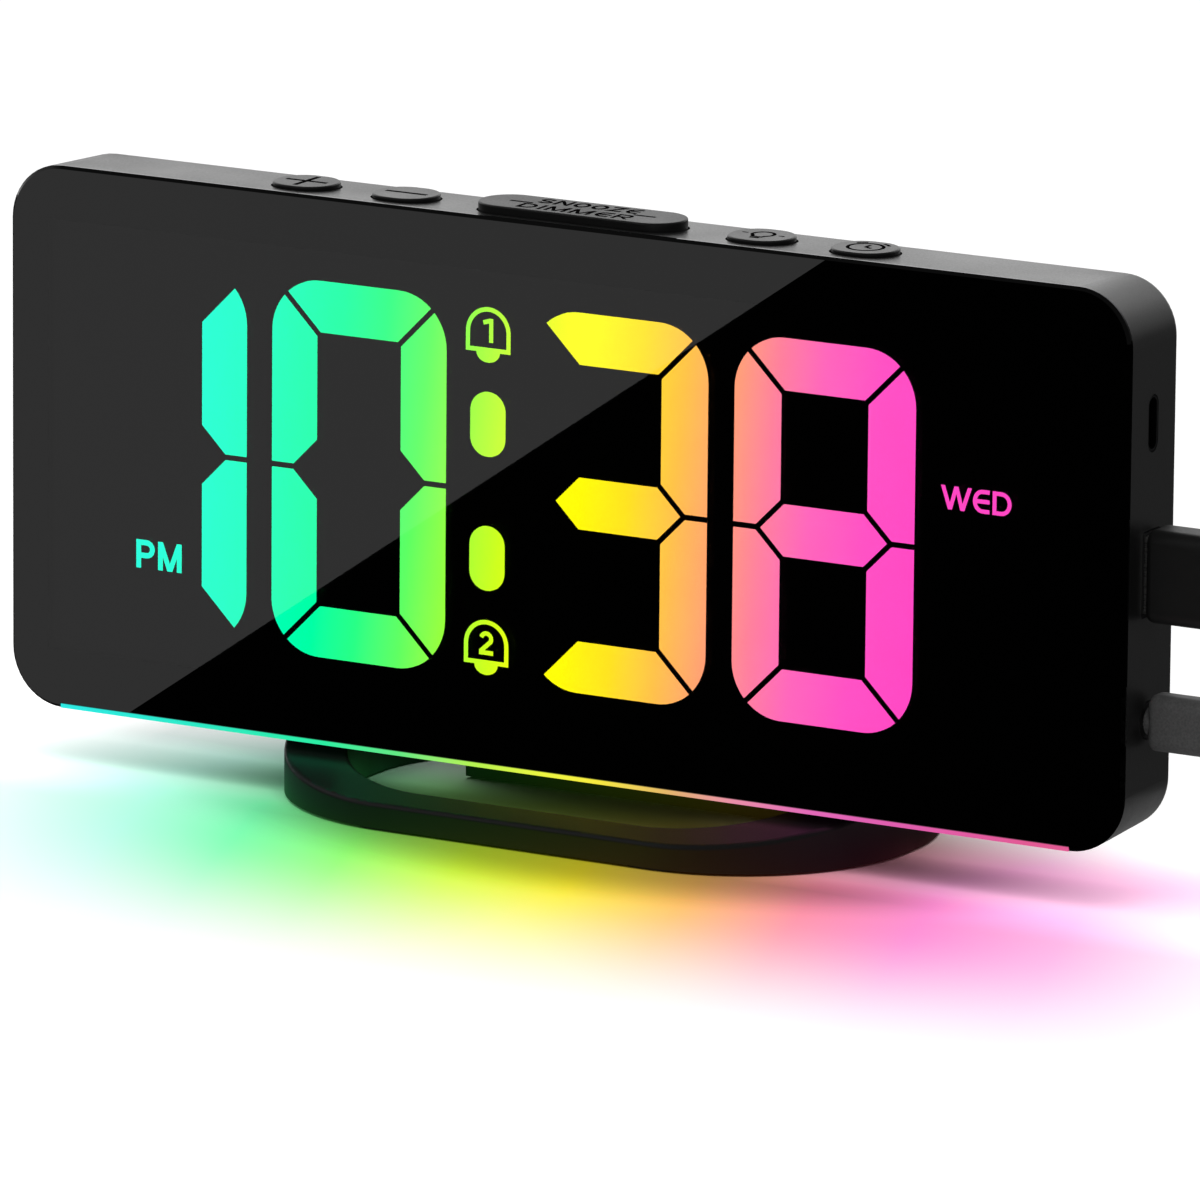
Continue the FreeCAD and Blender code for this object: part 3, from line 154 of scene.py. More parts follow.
charge_exit, power_exit = (125.5, -9.85, 51.95), (123.8, -9.85, 28.9)
charge_route = [
    (139.5, -9.85, 51.95), (154.0, -13.0, 41.5), (166.5, -13.5, 31.5), (176.8, -8.1, 21.6)
]
power_route = [(136.6, -9.85, 28.9)]
charge_coil = coil_points((153.0, 14.5), 19.0, 7.208, 15, 1)
power_coil = coil_points((170.0, -33.0), 18.6, 9.647, 88, -1)
charge_points = lead_points(charge_exit, charge_route, charge_coil, 3.25)
power_points = lead_points(power_exit, power_route, power_coil, 3.95)
print("points on the leads:", len(charge_points), len(power_points))


def make_lead(name, points, length, nodes):
    """One open NURBS spline of order 3 from the plug's mouth to the far plug.
    Each point's radius is the lead's own, so a bevel of one metre makes it that thick."""
    line = bpy.data.curves.new(name, "CURVE")
    line.dimensions = "3D"
    spline = line.splines.new("NURBS")
    spline.points.add(len(points) - 1)
    places = np.hstack([points * mm, np.ones((len(points), 1))])
    spline.points.foreach_set("co", places.ravel())
    spline.points.foreach_set("radius", [lead_diameter / 2 * mm] * len(points))
    spline.order_u = 3
    spline.use_endpoint_u = True
    spline.resolution_u = 3
    line.bevel_depth = 1.0
    line.bevel_resolution = 3
    lead = bpy.data.objects.new(name, line)
    bpy.context.scene.collection.objects.link(lead)
    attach(lead, "clock")
    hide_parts(*nodes)
    print(name, "drawn,", length, "m")
    return lead


charge_cord = make_lead(
    "charge_cord", charge_points, 0.972,
    ["charge_lead", "charge_lead_coil"],
)
power_cord = make_lead(
    "power_cord", power_points, 1.198,
    ["power_lead", "power_lead_coil"],
)

# %% [markdown]
# ## Wiring a finish
#
# Every finish is a Principled shader with a few nodes in front of it. The nodes could be
# added one by one in the editor; here a small helper adds one, sets or wires its inputs
# and hands it back, so a finish reads as a short list.

# %% Helpers for colours and nodes


def screen(red, green, blue):
    """A colour read off a screen, 0 to 255, as the linear numbers that shaders use:
    small values are divided by 12.92, the rest raised to the power 2.4."""
    value = np.array((red, green, blue)) / 255
    linear = np.where(value <= 0.04045, value / 12.92, ((value + 0.055) / 1.055) ** 2.4)
    return (*(float(v) for v in linear), 1.0)


def grey(light):
    """The same linear number for red, green and blue."""
    return (light, light, light, 1.0)


class Finish:
    """A node tree and the calls that add to it."""

    def __init__(self, tree):
        self.tree = tree

    def put(self, kind, inputs=None, **settings):
        """Adds a node. An input that is another node's output is wired, any other is set."""
        node = self.tree.nodes.new("ShaderNode" + kind)
        for name, value in settings.items():
            setattr(node, name, value)
        for key, value in (inputs or {}).items():
            self.feed(node, key, value)
        return node

    def feed(self, node, key, value):
        """Wires or sets one input of a node."""
        if isinstance(value, bpy.types.NodeSocket):
            self.tree.links.new(value, node.inputs[key])
        else:
            node.inputs[key].default_value = value

    def sums(self, operation, *values):
        """A Math node's result."""
        return self.put("Math", dict(enumerate(values)), operation=operation).outputs[0]

    def product(self, *values):
        """Values multiplied together by a row of Math nodes."""
        total = values[0]
        for value in values[1:]:
            total = self.sums("MULTIPLY", total, value)
        return total

    def spread(self, value, low, high, to_low=0.0, to_high=1.0, smooth=False):
        """A Map Range node: low to high becomes to_low to to_high, held at both ends."""
        node = self.put("MapRange", {0: value, 1: low, 2: high, 3: to_low, 4: to_high})
        node.interpolation_type = "SMOOTHSTEP" if smooth else "LINEAR"
        return node.outputs[0]

    def across(self, place, low, high, *ends, smooth=False):
        """The same for a place or distance, with low and high in millimetres."""
        return self.spread(place, low * mm, high * mm, *ends, smooth=smooth)

    def ramp(self, value, stops):
        """A Color Ramp with the given places and colours."""
        node = self.put("ValToRGB", {0: value})
        band = node.color_ramp
        while len(band.elements) < len(stops):
            band.elements.new(0.5)
        for element, (place, colour) in zip(band.elements, stops):
            element.position = place
            element.color = colour
        return node.outputs[0]

    def mixed(self, share, first, second):
        """A Mix node for colours: none of share gives the first, all of it the second."""
        return self.put(
            "Mix", {0: share, 6: first, 7: second}, data_type="RGBA"
        ).outputs[2]

    def scaled(self, colour, share):
        """A colour with its three numbers multiplied by the share."""
        return self.put(
            "VectorMath", {0: colour, "Scale": share}, operation="SCALE"
        ).outputs[0]

    def noise(self, scale, detail):
        """Noise in space: its spots are about one over the scale wide, in metres."""
        return self.put("TexNoise", {
            "Vector": self.place, "Scale": scale, "Detail": detail
        }).outputs[0]

    def bumped(self, strength, distance, height):
        """Bends the shader's normal as a relief of that height would."""
        bump = self.put("Bump", {"Strength": strength, "Distance": distance, "Height": height})
        self.feed(self.shader, "Normal", bump.outputs[0])

    def light(self, colour, strength):
        """An Emission shader."""
        return self.put("Emission", {0: colour, 1: strength}).outputs[0]

    def diffuse(self, colour):
        """A Diffuse shader."""
        return self.put("BsdfDiffuse", {0: colour}).outputs[0]

    def both(self, first, second):
        """Two shaders' light added."""
        return self.put("AddShader", {0: first, 1: second}).outputs[0]

    def either(self, choice, first, second):
        """The first shader where the choice is 0, and the second where it is 1."""
        return self.put("MixShader", {0: choice, 1: first, 2: second}).outputs[0]


def surface(name, colour, roughness, **sockets):
    """A material with its Principled shader; sockets are named with _ for a space."""
    material = bpy.data.materials.new(name)
    material.use_nodes = True
    finish = Finish(material.node_tree)
    finish.material = material
    finish.shader = material.node_tree.nodes["Principled BSDF"]
    finish.place = finish.put("TexCoord").outputs["Object"]
    finish.feed(finish.shader, "Base Color", colour)
    finish.feed(finish.shader, "Roughness", roughness)
    for socket, value in sockets.items():
        finish.feed(finish.shader, socket.replace("_", " "), value)
    return finish


print("mid grey on a screen is", round(screen(128, 128, 128)[0], 3), "in light")

# %% [markdown]
# ## Moulded black plastic
#
# The casing is moulded in a tool whose walls were etched by sparks, which leaves a fine
# even grain. A bump from fine noise stands for it: geometry that fine would need
# millions of faces. Tone and gloss vary a little with the same grain, and the gloss also
# with a broader noise, as they do on real parts.

# %% Finishes of the mouldings
broad_factor = 60
darker_share, lighter_share = 0.8, 1.25


def grained(name, tone, roughness, grain=0.35, height=0.02, swing=0.06):
    """Etched plastic: noise of the grain's size lifts the surface and varies its gloss."""
    finish = surface(name, screen(*tone), roughness)
    fine = finish.put("TexNoise", {
        "Vector": finish.place, "Scale": 1 / (grain * mm), "Detail": 3.0, "Roughness": 0.6,
    }).outputs[0]
    broad = finish.noise(1 / (grain * broad_factor * mm), 2.0)
    finish.bumped(1.0, height * mm, fine)
    finish.feed(finish.shader, "Roughness", finish.spread(
        finish.sums("ADD", fine, broad), 0.7, 1.3, roughness - swing, roughness + swing
    ))
    darker, lighter = (
        (*(share * v for v in screen(*tone)[:3]), 1.0)
        for share in (darker_share, lighter_share)
    )
    finish.feed(finish.shader, "Base Color", finish.mixed(
        finish.spread(fine, 0.35, 0.65), darker, lighter
    ))
    return finish.material


casing_plastic = grained("casing_plastic", (15, 15, 15), 0.34, height=0.014)
button_plastic = grained("button_plastic", (12, 12, 12), 0.36, grain=0.25, height=0.012)
snooze_plastic = grained("snooze_plastic", (12, 12, 12), 0.42, grain=0.25, height=0.02)
block_plastic = grained("block_plastic", (9, 9, 9), 0.6)
socket_plastic = grained("socket_plastic", (18, 18, 18), 0.5, grain=0.2)
lead_plastic = grained("lead_plastic", (12, 12, 12), 0.48, grain=0.5, height=0.008)
grip_plastic = grained("grip_plastic", (72, 72, 72), 0.55, grain=0.4, height=0.006)
pad_foam = grained("pad_foam", (38, 38, 40), 0.85, grain=0.12, height=0.05)
plunger_plastic = grained("plunger_plastic", (205, 205, 200), 0.45, grain=0.2, height=0.005)
print("materials so far:", len(bpy.data.materials))

# %% [markdown]
# ## The glossy stand
#
# The stand comes from a smoother tool, so it mirrors what is over it, though softly. A
# perfect mirror would look drawn, so a very shallow broad bump bends the reflections as
# flow and shrinkage do, and fine dust breaks the gloss.

# %% Finish of the stand
gloss = surface("stand_gloss", screen(11, 11, 11), 0.4, IOR=1.5)
ripple = gloss.noise(90.0, 1.0)
dust = gloss.noise(4000.0, 2.0)
gloss.bumped(0.25, 0.06 * mm, ripple)
gloss.feed(gloss.shader, "Roughness", gloss.spread(dust, 0.45, 0.75, 0.36, 0.44))
stand_gloss = gloss.material
print(stand_gloss.name, "made")

# %% [markdown]
# ## Coloured light
#
# Lamps behind each segment run from turquoise over green, yellow and orange to pink, and
# the bar under the lens repeats the run. Each lamp could have its own colour, but the
# real guides blend them, so one ramp along the clock colours everything that glows. The
# ramp leans a little, as the bands on the digits do.

# %% Ramps of colour and the glowing finishes
smoke = 0.04
gloss_loss = 0.86
behind_lens = 1 / (smoke * gloss_loss)
digit_run, bar_run = (-80.0, 80.0), (-91.0, 91.0)
digit_lean, bar_lean = 0.11, 0.0
middle_height = 52.8
cloud_scale, cloud_dark = 160.0, 0.97
faded = 0.02

digit_stops = [
    (-72, (0, 255, 212)), (-60, (0, 255, 196)), (-42, (0, 255, 160)), (-34, (38, 255, 130)),
    (-26, (92, 255, 96)), (-18, (150, 255, 58)), (-10, (202, 255, 30)), (-2, (246, 255, 8)),
    (4, (255, 246, 10)), (12, (255, 223, 32)), (20, (255, 191, 72)), (28, (255, 159, 112)),
    (36, (255, 126, 154)), (44, (255, 100, 184)), (54, (255, 80, 192)), (66, (255, 70, 190)),
]
bar_stops = [
    (-88, (0, 233, 225)), (-58, (0, 232, 184)), (-42, (12, 238, 160)), (-28, (93, 232, 127)),
    (-14, (180, 242, 70)), (-2, (236, 246, 52)), (8, (248, 233, 51)), (20, (228, 181, 98)),
    (32, (234, 139, 166)), (46, (225, 96, 182)), (60, (222, 83, 172)), (84, (224, 78, 142)),
]


def along(run, stops):
    """Places in millimetres become shares of the run, and screen colours become light."""
    low, high = run
    return [((x - low) / (high - low), screen(*colour)) for x, colour in stops]


def glowing(name, stops, run, lean, strength, fades=()):
    """A guide lit from behind: its colour comes from where each spot lies on the clock.
    Each fade names an axis and two places, and the light ends between the two."""
    finish = surface(name, screen(60, 60, 60), 0.35, Emission_Strength=strength)
    x, y, z = finish.put("SeparateXYZ", {0: finish.place}).outputs
    leant = finish.sums("SUBTRACT", x, finish.product(
        finish.sums("SUBTRACT", z, middle_height * mm), lean
    ))
    colour = finish.ramp(finish.across(leant, *run), along(run, stops))
    shade = finish.spread(finish.noise(cloud_scale, 3.0), 0.3, 0.7, cloud_dark, 1.0)
    for axis, lit, dark in fades:
        shade = finish.product(
            shade, finish.across({"y": y, "z": z}[axis], lit, dark, 1.0, faded)
        )
    finish.feed(finish.shader, "Emission Color", finish.scaled(colour, shade))
    return finish.material


lit_guide = glowing("lit_guide", digit_stops, digit_run, digit_lean, behind_lens)
# The bar's glow fades out along the top edge of its front. This is a painted shade where the
# lens's printed border falls over it. The glow also ends just behind the front face.
lit_bar = glowing(
    "lit_bar", bar_stops, bar_run, bar_lean, 1.0, (("y", -18.25, -18.0), ("z", 9.42, 9.56))
)
dark_guide = grained("dark_guide", (13, 13, 13), 0.5, grain=0.4, height=0.004)
print("glowing guides are", round(behind_lens, 1), "times as bright as they look")

# %% [markdown]
# ## The smoked lens
#
# The front is one plate of smoked acrylic, printed black behind its border. A black
# gloss could stand for it, but then nothing behind it would show its depth, so the plate
# really lets a little of the light through, except where its border is printed. The
# clear window is as wide and as high as the display block behind it.

# %% Finish of the lens
lens_finish = surface(
    "smoked_lens", screen(0, 0, 0), 0.0, IOR=1.49, Transmission_Weight=1.0
)
lens_x, _, lens_z = lens_finish.put("SeparateXYZ", {0: lens_finish.place}).outputs
block_low, block_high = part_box("display_block")


def within(finish, value, low, high):
    """1 between low and high, 0 outside them."""
    return finish.product(
        finish.sums("GREATER_THAN", value, low), finish.sums("LESS_THAN", value, high)
    )


clear = lens_finish.product(
    within(lens_finish, lens_x, block_low.x, block_high.x),
    within(lens_finish, lens_z, block_low.z, block_high.z),
)
lens_finish.feed(lens_finish.shader, "Transmission Weight", clear)
lens_finish.feed(lens_finish.shader, "Base Color", lens_finish.mixed(
    clear, screen(0, 0, 0), grey(smoke)
))
smoked_lens = lens_finish.material
print("clear window", [round(v / mm, 1) for v in (block_low.x, block_high.x)])

# %% [markdown]
# ## Metal, boards and small parts inside
#
# Nothing of this shows from outside unless a cover is off, but a reusable part is seen
# opened too. Steel gets drawn lines from stretched noise, the boards a solder mask with
# faint tracks, and the speaker its paper cone.

# %% Finishes of the inner parts


def drawn_metal(name, tone, roughness):
    """Metal with fine lines along one axis: noise squeezed along the other two."""
    finish = surface(name, screen(*tone), roughness, Metallic=1.0)
    stretch = finish.put("Mapping", {"Vector": finish.place, "Scale": (400.0, 6000.0, 6000.0)})
    lines = finish.put("TexNoise", {
        "Vector": stretch.outputs[0], "Scale": 1.0, "Detail": 2.0
    }).outputs[0]
    finish.feed(finish.shader, "Roughness", finish.spread(
        lines, 0.3, 0.7, roughness - 0.08, roughness + 0.12
    ))
    finish.bumped(0.4, 0.01 * mm, lines)
    return finish.material


def board_mask(name):
    """Solder mask over copper: the joints of a brick pattern show as raised, lighter
    tracks. The pattern lies in x and y, so it is turned a quarter about x to stand up."""
    mask = screen(10, 52, 34)
    finish = surface(name, mask, 0.35)
    tracks = finish.put("TexBrick", {
        "Vector": finish.put("Mapping", {
            "Vector": finish.place, "Rotation": (math.pi / 2, 0, 0)
        }).outputs[0],
        "Color1": mask, "Color2": screen(14, 60, 40), "Mortar": screen(26, 84, 56),
        "Scale": 400.0, "Mortar Size": 0.06, "Mortar Smooth": 0.1,
    })
    finish.feed(finish.shader, "Base Color", tracks.outputs["Color"])
    finish.bumped(0.3, 0.03 * mm, tracks.outputs["Fac"])
    return finish.material


steel = drawn_metal("drawn_steel", (190, 190, 188), 0.3)
dark_steel = drawn_metal("blackened_steel", (34, 34, 35), 0.42)
board = board_mask("solder_mask")
chip_epoxy = grained("chip_epoxy", (28, 28, 30), 0.55, grain=0.1, height=0.004)
lamp_resin = grained("lamp_resin", (235, 228, 190), 0.3, grain=0.2, height=0.002)
speaker_paper = grained("speaker_paper", (34, 34, 36), 0.75, grain=0.15, height=0.03)
print("materials so far:", len(bpy.data.materials))

# %% Give every solid its finish
finish_of_slot = {
    "casing": casing_plastic, "lens": smoked_lens, "block": block_plastic,
    "lit_guides": lit_guide, "unlit_guides": dark_guide, "boards": board,
    "chips": chip_epoxy, "leds": lamp_resin, "steel": steel, "socket": socket_plastic,
    "speaker": speaker_paper, "bar": lit_bar, "buttons": button_plastic,
    "plungers": plunger_plastic, "stand": stand_gloss, "pads": pad_foam,
    "lead": lead_plastic,
}
finish_of_node = {
    "afternoon_word": dark_guide, "third_weekday_word": dark_guide, "alarm_signs": dark_guide,
    "snooze_button": snooze_plastic, "usb_c_port": dark_steel, "usb_a_port": dark_steel,
    "power_plug": grip_plastic,
}
for name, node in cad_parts.items():
    slot_name = node.material_slots[0].material.name.split(".")[0]
    node.material_slots[0].material = finish_of_node.get(name, finish_of_slot[slot_name])
for cord in (charge_cord, power_cord):
    cord.data.materials.append(lead_plastic)
print("finishes given to", len(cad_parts), "solids")

# %% [markdown]
# ## Letters, numbers and signs from strokes
#
# A word on the display is a clear place in a black mask over its guide, and a button's
# sign is printed on the cap. A font could be used, but these letters are plain lines and
# arcs, so each is a bent strip: a flat profile carried along the letter's middle line,
# with its corners mitred.

# %% Middle lines of the letters


def arc(centre, radii, start, end, count=14):
    """Points on part of an ellipse, from one angle in degrees to another."""
    angle = np.radians(np.linspace(start, end, count))
    return np.stack([
        centre[0] + radii[0] * np.cos(angle), centre[1] + radii[1] * np.sin(angle)
    ], axis=1)


def line(*points):
    """Points joined by straight runs."""
    return np.array(points, float)


def joined(*runs):
    """Several runs one after another."""
    return np.concatenate(runs)


def letter_lines(letter, w, h, s):
    """The middle lines of a letter w wide and h high, whose strips are s wide; e is half
    of that. Each is its points and its kind: open, closed, or level where it slants and
    its ends are cut flat."""
    bowl = h * 0.44
    half = (h - bowl) / 2
    e = s / 2
    shapes = {
        "D": [(joined(
            line((0, 0), (0, h)), arc((w * 0.45, h / 2), (w * 0.55, h / 2), 90, -90)
        ), "closed")],
        "E": [
            (joined(
                line((w + e, h)), arc((w * 0.6, h / 2), (w * 0.6, h / 2), 90, 270, 20),
                line((w + e, 0)),
            ), "open"),
            (line((e, h / 2), (w + e, h / 2)), "open"),
        ],
        "I": [(line((w / 2, -e), (w / 2, h + e)), "open")],
        "M": [
            (line((0, -e), (0, h + e)), "open"),
            (line((0, h + e), (w / 2, -e), (w, h + e)), "level"),
            (line((w, -e), (w, h + e)), "open"),
        ],
        "N": [
            (line((0, -e), (0, h + e)), "open"),
            (line((0, h + e), (w, -e)), "level"),
            (line((w, -e), (w, h + e)), "open"),
        ],
        "O": [(arc((w / 2, h / 2), (w / 2, h / 2), 0, 345, 24), "closed")],
        "P": [(joined(
            line((0, -e), (0, h)), arc((w - half, bowl + half), (half, half), 90, -90),
            line((e, bowl)),
        ), "open")],
        "S": [(joined(
            arc((w / 2, h * 0.75), (w / 2, h / 4), 25, 270),
            arc((w / 2, h * 0.25), (w / 2, h / 4), 90, -155)[1:],
        ), "open")],
        "W": [(line(
            (0, h + e), (w * 0.27, -e), (w / 2, h + e), (w * 0.73, -e), (w, h + e)
        ), "level")],
        "Z": [(line((-e, h), (w, h), (0, 0), (w + e, 0)), "open")],
        "1": [
            (line((w, -e), (w, h + e)), "open"),
            (line((-e, h - 0.5 * s), (w - e, h - 0.05 * s)), "open"),
        ],
        "2": [(joined(
            arc((w / 2, h - w / 2), (w / 2, w / 2), 165, -25),
            line((0, 0.4 * s), (0, 0), (w + e, 0)),
        ), "open")],
    }
    shapes["R"] = shapes["P"] + [(line((w * 0.5, bowl - e), (w, -e)), "level")]
    return shapes[letter]


def word_lines(letters, widths, gaps, height, stroke, centre):
    """A word's middle lines, set out about its centre; widths are over the strips."""
    total = sum(widths) + sum(gaps)
    left = centre[0] - total / 2
    lines = []
    for letter, width, gap in zip(letters, widths, [*gaps, 0]):
        start = np.array([left + stroke / 2, centre[1] - height / 2 + stroke / 2])
        lines += [
            (points + start, ending)
            for points, ending in letter_lines(letter, width - stroke, height - stroke, stroke)
        ]
        left += width + gap
    return lines


print("letters to draw:", len(set("PMWEDSNOOZEDIMMER12")))

# %% Strips with real edges
mitre_limit = 0.45
level_share = 0.52


def strip_edges(points, width, closed):
    """The two edges of a strip: each point moved along the mitre of its two runs, by half
    the width over the mitre's share of the side way, which is held over a limit."""
    before = points - np.roll(points, 1, axis=0)
    after = np.roll(points, -1, axis=0) - points
    if not closed:
        before[0], after[-1] = after[0], before[-1]
    ways = [v / np.linalg.norm(v, axis=1, keepdims=True) for v in (before, after)]
    side = [np.stack([-v[:, 1], v[:, 0]], axis=1) for v in ways]
    mitre = side[0] + side[1]
    mitre /= np.linalg.norm(mitre, axis=1, keepdims=True)
    shift = width / 2 / np.maximum((mitre * side[0]).sum(axis=1), mitre_limit)
    offset = mitre * shift[:, None]
    return points + offset, points - offset


def strip_faces(count, closed, first):
    """Faces of a square tube with four corners at each of its stations, ends shut."""
    stations = np.arange(count if closed else count - 1)
    corners = np.arange(4)
    a = 4 * stations[:, None] + corners
    b = 4 * stations[:, None] + (corners + 1) % 4
    c = (b + 4) % (4 * count)
    d = (a + 4) % (4 * count)
    faces = np.stack([a, b, c, d], axis=-1).reshape(-1, 4) + first
    if closed:
        return faces.tolist()
    last = 4 * (count - 1)
    return faces.tolist() + [
        [first + k for k in (3, 2, 1, 0)], [first + last + k for k in (0, 1, 2, 3)]
    ]


def strip_mesh(name, pairs, depth, to_clock):
    """Strips between pairs of edges, given a depth and set on the clock by to_clock."""
    vertices, faces = [], []
    for left, right, closed in pairs:
        first = sum(len(v) for v in vertices)
        flat = np.stack([left, right, right, left], axis=1).reshape(-1, 2)
        level = np.tile([0, 0, depth, depth], len(left))
        vertices.append(to_clock(flat[:, 0], flat[:, 1], level) * mm)
        faces += strip_faces(len(left), closed, first)
    mesh = bpy.data.meshes.new(name)
    mesh.from_pydata(np.concatenate(vertices).tolist(), [], faces)
    mesh.validate()
    work = bmesh.new()
    work.from_mesh(mesh)
    bmesh.ops.recalc_face_normals(work, faces=work.faces)
    work.to_mesh(mesh)
    work.free()
    piece = bpy.data.objects.new(name, mesh)
    bpy.context.scene.collection.objects.link(piece)
    return piece


display_front = -16.66
mask_depth = 0.06


def on_display(x, z, level):
    """The display's plane: level 0 is its front, just behind the lens."""
    return np.stack([x, display_front + level, z], axis=1)


def pairs_of(lines, stroke):
    """Both edges of every line of a word or sign. A level line's edges lie to its left
    and right by a little over half the stroke, since its runs slant."""
    pairs = []
    for points, ending in lines:
        closed = ending == "closed"
        if ending == "level":
            aside = np.array([stroke * level_share, 0])
            pairs.append((points - aside, points + aside, closed))
        else:
            pairs.append((*strip_edges(points, stroke, closed), closed))
    return pairs


def window_centre(node):
    """The middle of a solid's window on the display, in millimetres."""
    low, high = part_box(node)
    return (low.x + high.x) / 2 / mm, (low.z + high.z) / 2 / mm


def word_pairs(letters, widths, gaps, height, stroke, centre):
    """Both edges of every line of a word."""
    return pairs_of(word_lines(letters, widths, gaps, height, stroke, centre), stroke)


def lit_piece(name, pairs):
    """A glowing piece of the display, which rides with the clock."""
    piece = strip_mesh(name, pairs, mask_depth, on_display)
    piece.data.materials.append(lit_guide)
    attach(piece, "clock")
    print(name, "has", len(piece.data.polygons), "faces")


# %% The two words and the two bells
afternoon_x, afternoon_z = window_centre("afternoon_word")
afternoon_shift = -0.3
lit_piece("afternoon_letters", word_pairs(
    "PM", (3.4, 4.35), (0.65,), 4.6, 0.86, (afternoon_x + afternoon_shift, afternoon_z)
))
lit_piece("weekday_letters", word_pairs(
    "WED", (5.3, 2.85, 3.25), (0.25, 0.55), 3.7, 0.64, window_centre("third_weekday_word")
))

bell_width = 8.0
bell_height = 8.8
bell_stroke = 0.7
bell_margin = 0.25
knob_drop = 1.65
knob_half_width = 2.1
number_lift = 0.7
number_height = 3.8


def bell_lines(centre):
    """A round-topped outline."""
    x, z = centre
    half = (bell_width - bell_stroke) / 2
    top, foot = z + bell_height / 2, z - bell_height / 2 + knob_drop + bell_stroke / 2
    return joined(
        line((x - half, foot)), arc((x, top - bell_width / 2), (half, half), 180, 0, 30),
        line((x + half, foot)),
    )


def knob_edges(centre):
    """The clapper: a strip between a straight chord and half an ellipse under it."""
    x, z = centre
    chord_z = z - bell_height / 2 + knob_drop
    below = arc((x, chord_z), (knob_half_width, knob_drop), 180, 360, 22)[1:-1]
    above = np.stack([below[:, 0], np.full(len(below), chord_z)], axis=1)
    return above, below, False


signs_x, _ = window_centre("alarm_signs")
signs_low, signs_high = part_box("alarm_signs")
bells = []
for number, number_width, z in (
    ("1", 1.75, signs_high.z / mm - bell_height / 2 - bell_margin),
    ("2", 2.5, signs_low.z / mm + bell_height / 2 + bell_margin),
):
    bells += [(*strip_edges(bell_lines((signs_x, z)), bell_stroke, True), True)]
    bells += [knob_edges((signs_x, z))]
    bells += word_pairs(
        number, (number_width,), (), number_height, bell_stroke, (signs_x, z + number_lift)
    )
lit_piece("bell_signs", bells)

# %% [markdown]
# ## Signs on the buttons
#
# The caps carry dark signs: plus, minus, a lamp for the night light, a clock for the
# alarm, and two plain words on the snooze bar. They are thin strips of ink, a fiftieth
# of a millimetre proud, and ride with their own caps.

# %% Ink for the caps
ink_finish = surface("cap_ink", screen(8, 8, 8), 0.8, Specular_IOR_Level=0.0)
ink_finish.feed(ink_finish.shader, "Base Color", ink_finish.mixed(
    ink_finish.noise(9000.0, 2.0), screen(4, 4, 4), screen(12, 12, 12)
))
ink = ink_finish.material
ink_depth = 0.05
ink_proud = 0.02


def cap_sign(button, pairs):
    """Ink strips on a cap's top, drawn about the cap's middle."""
    low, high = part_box(button + "_button")
    middle = (low + high) / 2 / mm
    top = high.z / mm + ink_proud

    def on_cap(x, y, level):
        """The cap's plane: level 0 is the ink's top."""
        return np.stack([middle.x + x, middle.y + y, top - level], axis=1)

    piece = strip_mesh(button + "_sign", pairs, ink_depth, on_cap)
    piece.data.materials.append(ink)
    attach(piece, button + "_key")
    print(piece.name, "has", len(piece.data.polygons), "faces")


sign_stroke = 0.8
arm = 3.7
cap_sign("minus", pairs_of([(line((-arm, 0), (arm, 0)), "open")], sign_stroke))
cap_sign("plus", pairs_of([
    (line((-arm, 0), (arm, 0)), "open"),
    (line((0, sign_stroke / 2), (0, arm)), "open"),
    (line((0, -sign_stroke / 2), (0, -arm)), "open"),
], sign_stroke))
cap_sign("light", pairs_of([
    (joined(
        arc((0, 0.5), (1.75, 1.75), 235, -55, 24), line((0.85, -1.7), (-0.85, -1.7))
    ), "closed"),
    (line((-0.8, -2.5), (0.8, -2.5)), "open"),
], 0.55) + pairs_of([
    (line((way * 2.7, 0.5), (way * 3.7, 0.5)), "open") for way in (-1, 1)
], 0.4))
cap_sign("alarm", pairs_of([
    (arc((0, 0), (2.8, 2.8), 0, 345, 24), "closed"),
    (line((0, 1.5), (0, 0), (1.2, -0.6)), "open"),
], 0.55) + pairs_of([
    (arc((0, 0), (3.75, 3.75), 40, 68, 8), "open"),
    (arc((0, 0), (3.75, 3.75), 112, 140, 8), "open"),
], 0.5))
cap_sign("snooze", pairs_of(
    word_lines("SNOOZE", (2.5, 2.7, 2.7, 2.7, 2.5, 2.3), (0.5,) * 5, 3.2, 0.6, (0, 2.3))
    + word_lines("DIMMER", (3.0, 0.6, 3.6, 3.6, 2.7, 2.9), (0.7,) * 5, 3.2, 0.6, (0, -2.3))
    + [(line((side * 9.0, 0), (side * 13.0, 0)), "open") for side in (-1, 1)], 0.6
))

# %% [markdown]
# ## The floor and what it mirrors
#
# The clock stands on a white floor under an even white sky. The bar throws its colours
# forward on the floor. Real lamps would only add light to a floor that is white already,
# so the floor's own colour carries the tint: a ramp along the bar, fading with the
# distance from it.

# %% Make the floor
floor_size = 12.0
half_floor = floor_size / 2
floor_mesh = bpy.data.meshes.new("studio_floor")
floor_mesh.from_pydata([
    (-half_floor, -half_floor, 0), (half_floor, -half_floor, 0),
    (half_floor, half_floor, 0), (-half_floor, half_floor, 0),
], [], [(0, 1, 2, 3)])
floor = bpy.data.objects.new("studio_floor", floor_mesh)
bpy.context.scene.collection.objects.link(floor)
print("floor made", floor_size, "m wide")

# %% The colours of the glow
glow_stops = [
    (-98, (255, 255, 255)), (-80, (226, 255, 247)), (-60, (183, 255, 230)),
    (-40, (128, 252, 180)), (-20, (148, 254, 118)), (0, (214, 253, 66)), (20, (254, 240, 56)),
    (40, (255, 196, 106)), (60, (255, 152, 172)), (80, (255, 145, 212)),
    (104, (255, 180, 226)), (124, (255, 222, 240)), (146, (255, 255, 255)),
]
glow_run = (-100.0, 150.0)
glow_start, glow_end = 26, 104
glow_lean, lean_from = 0.35, 33
bar_y = -16.4

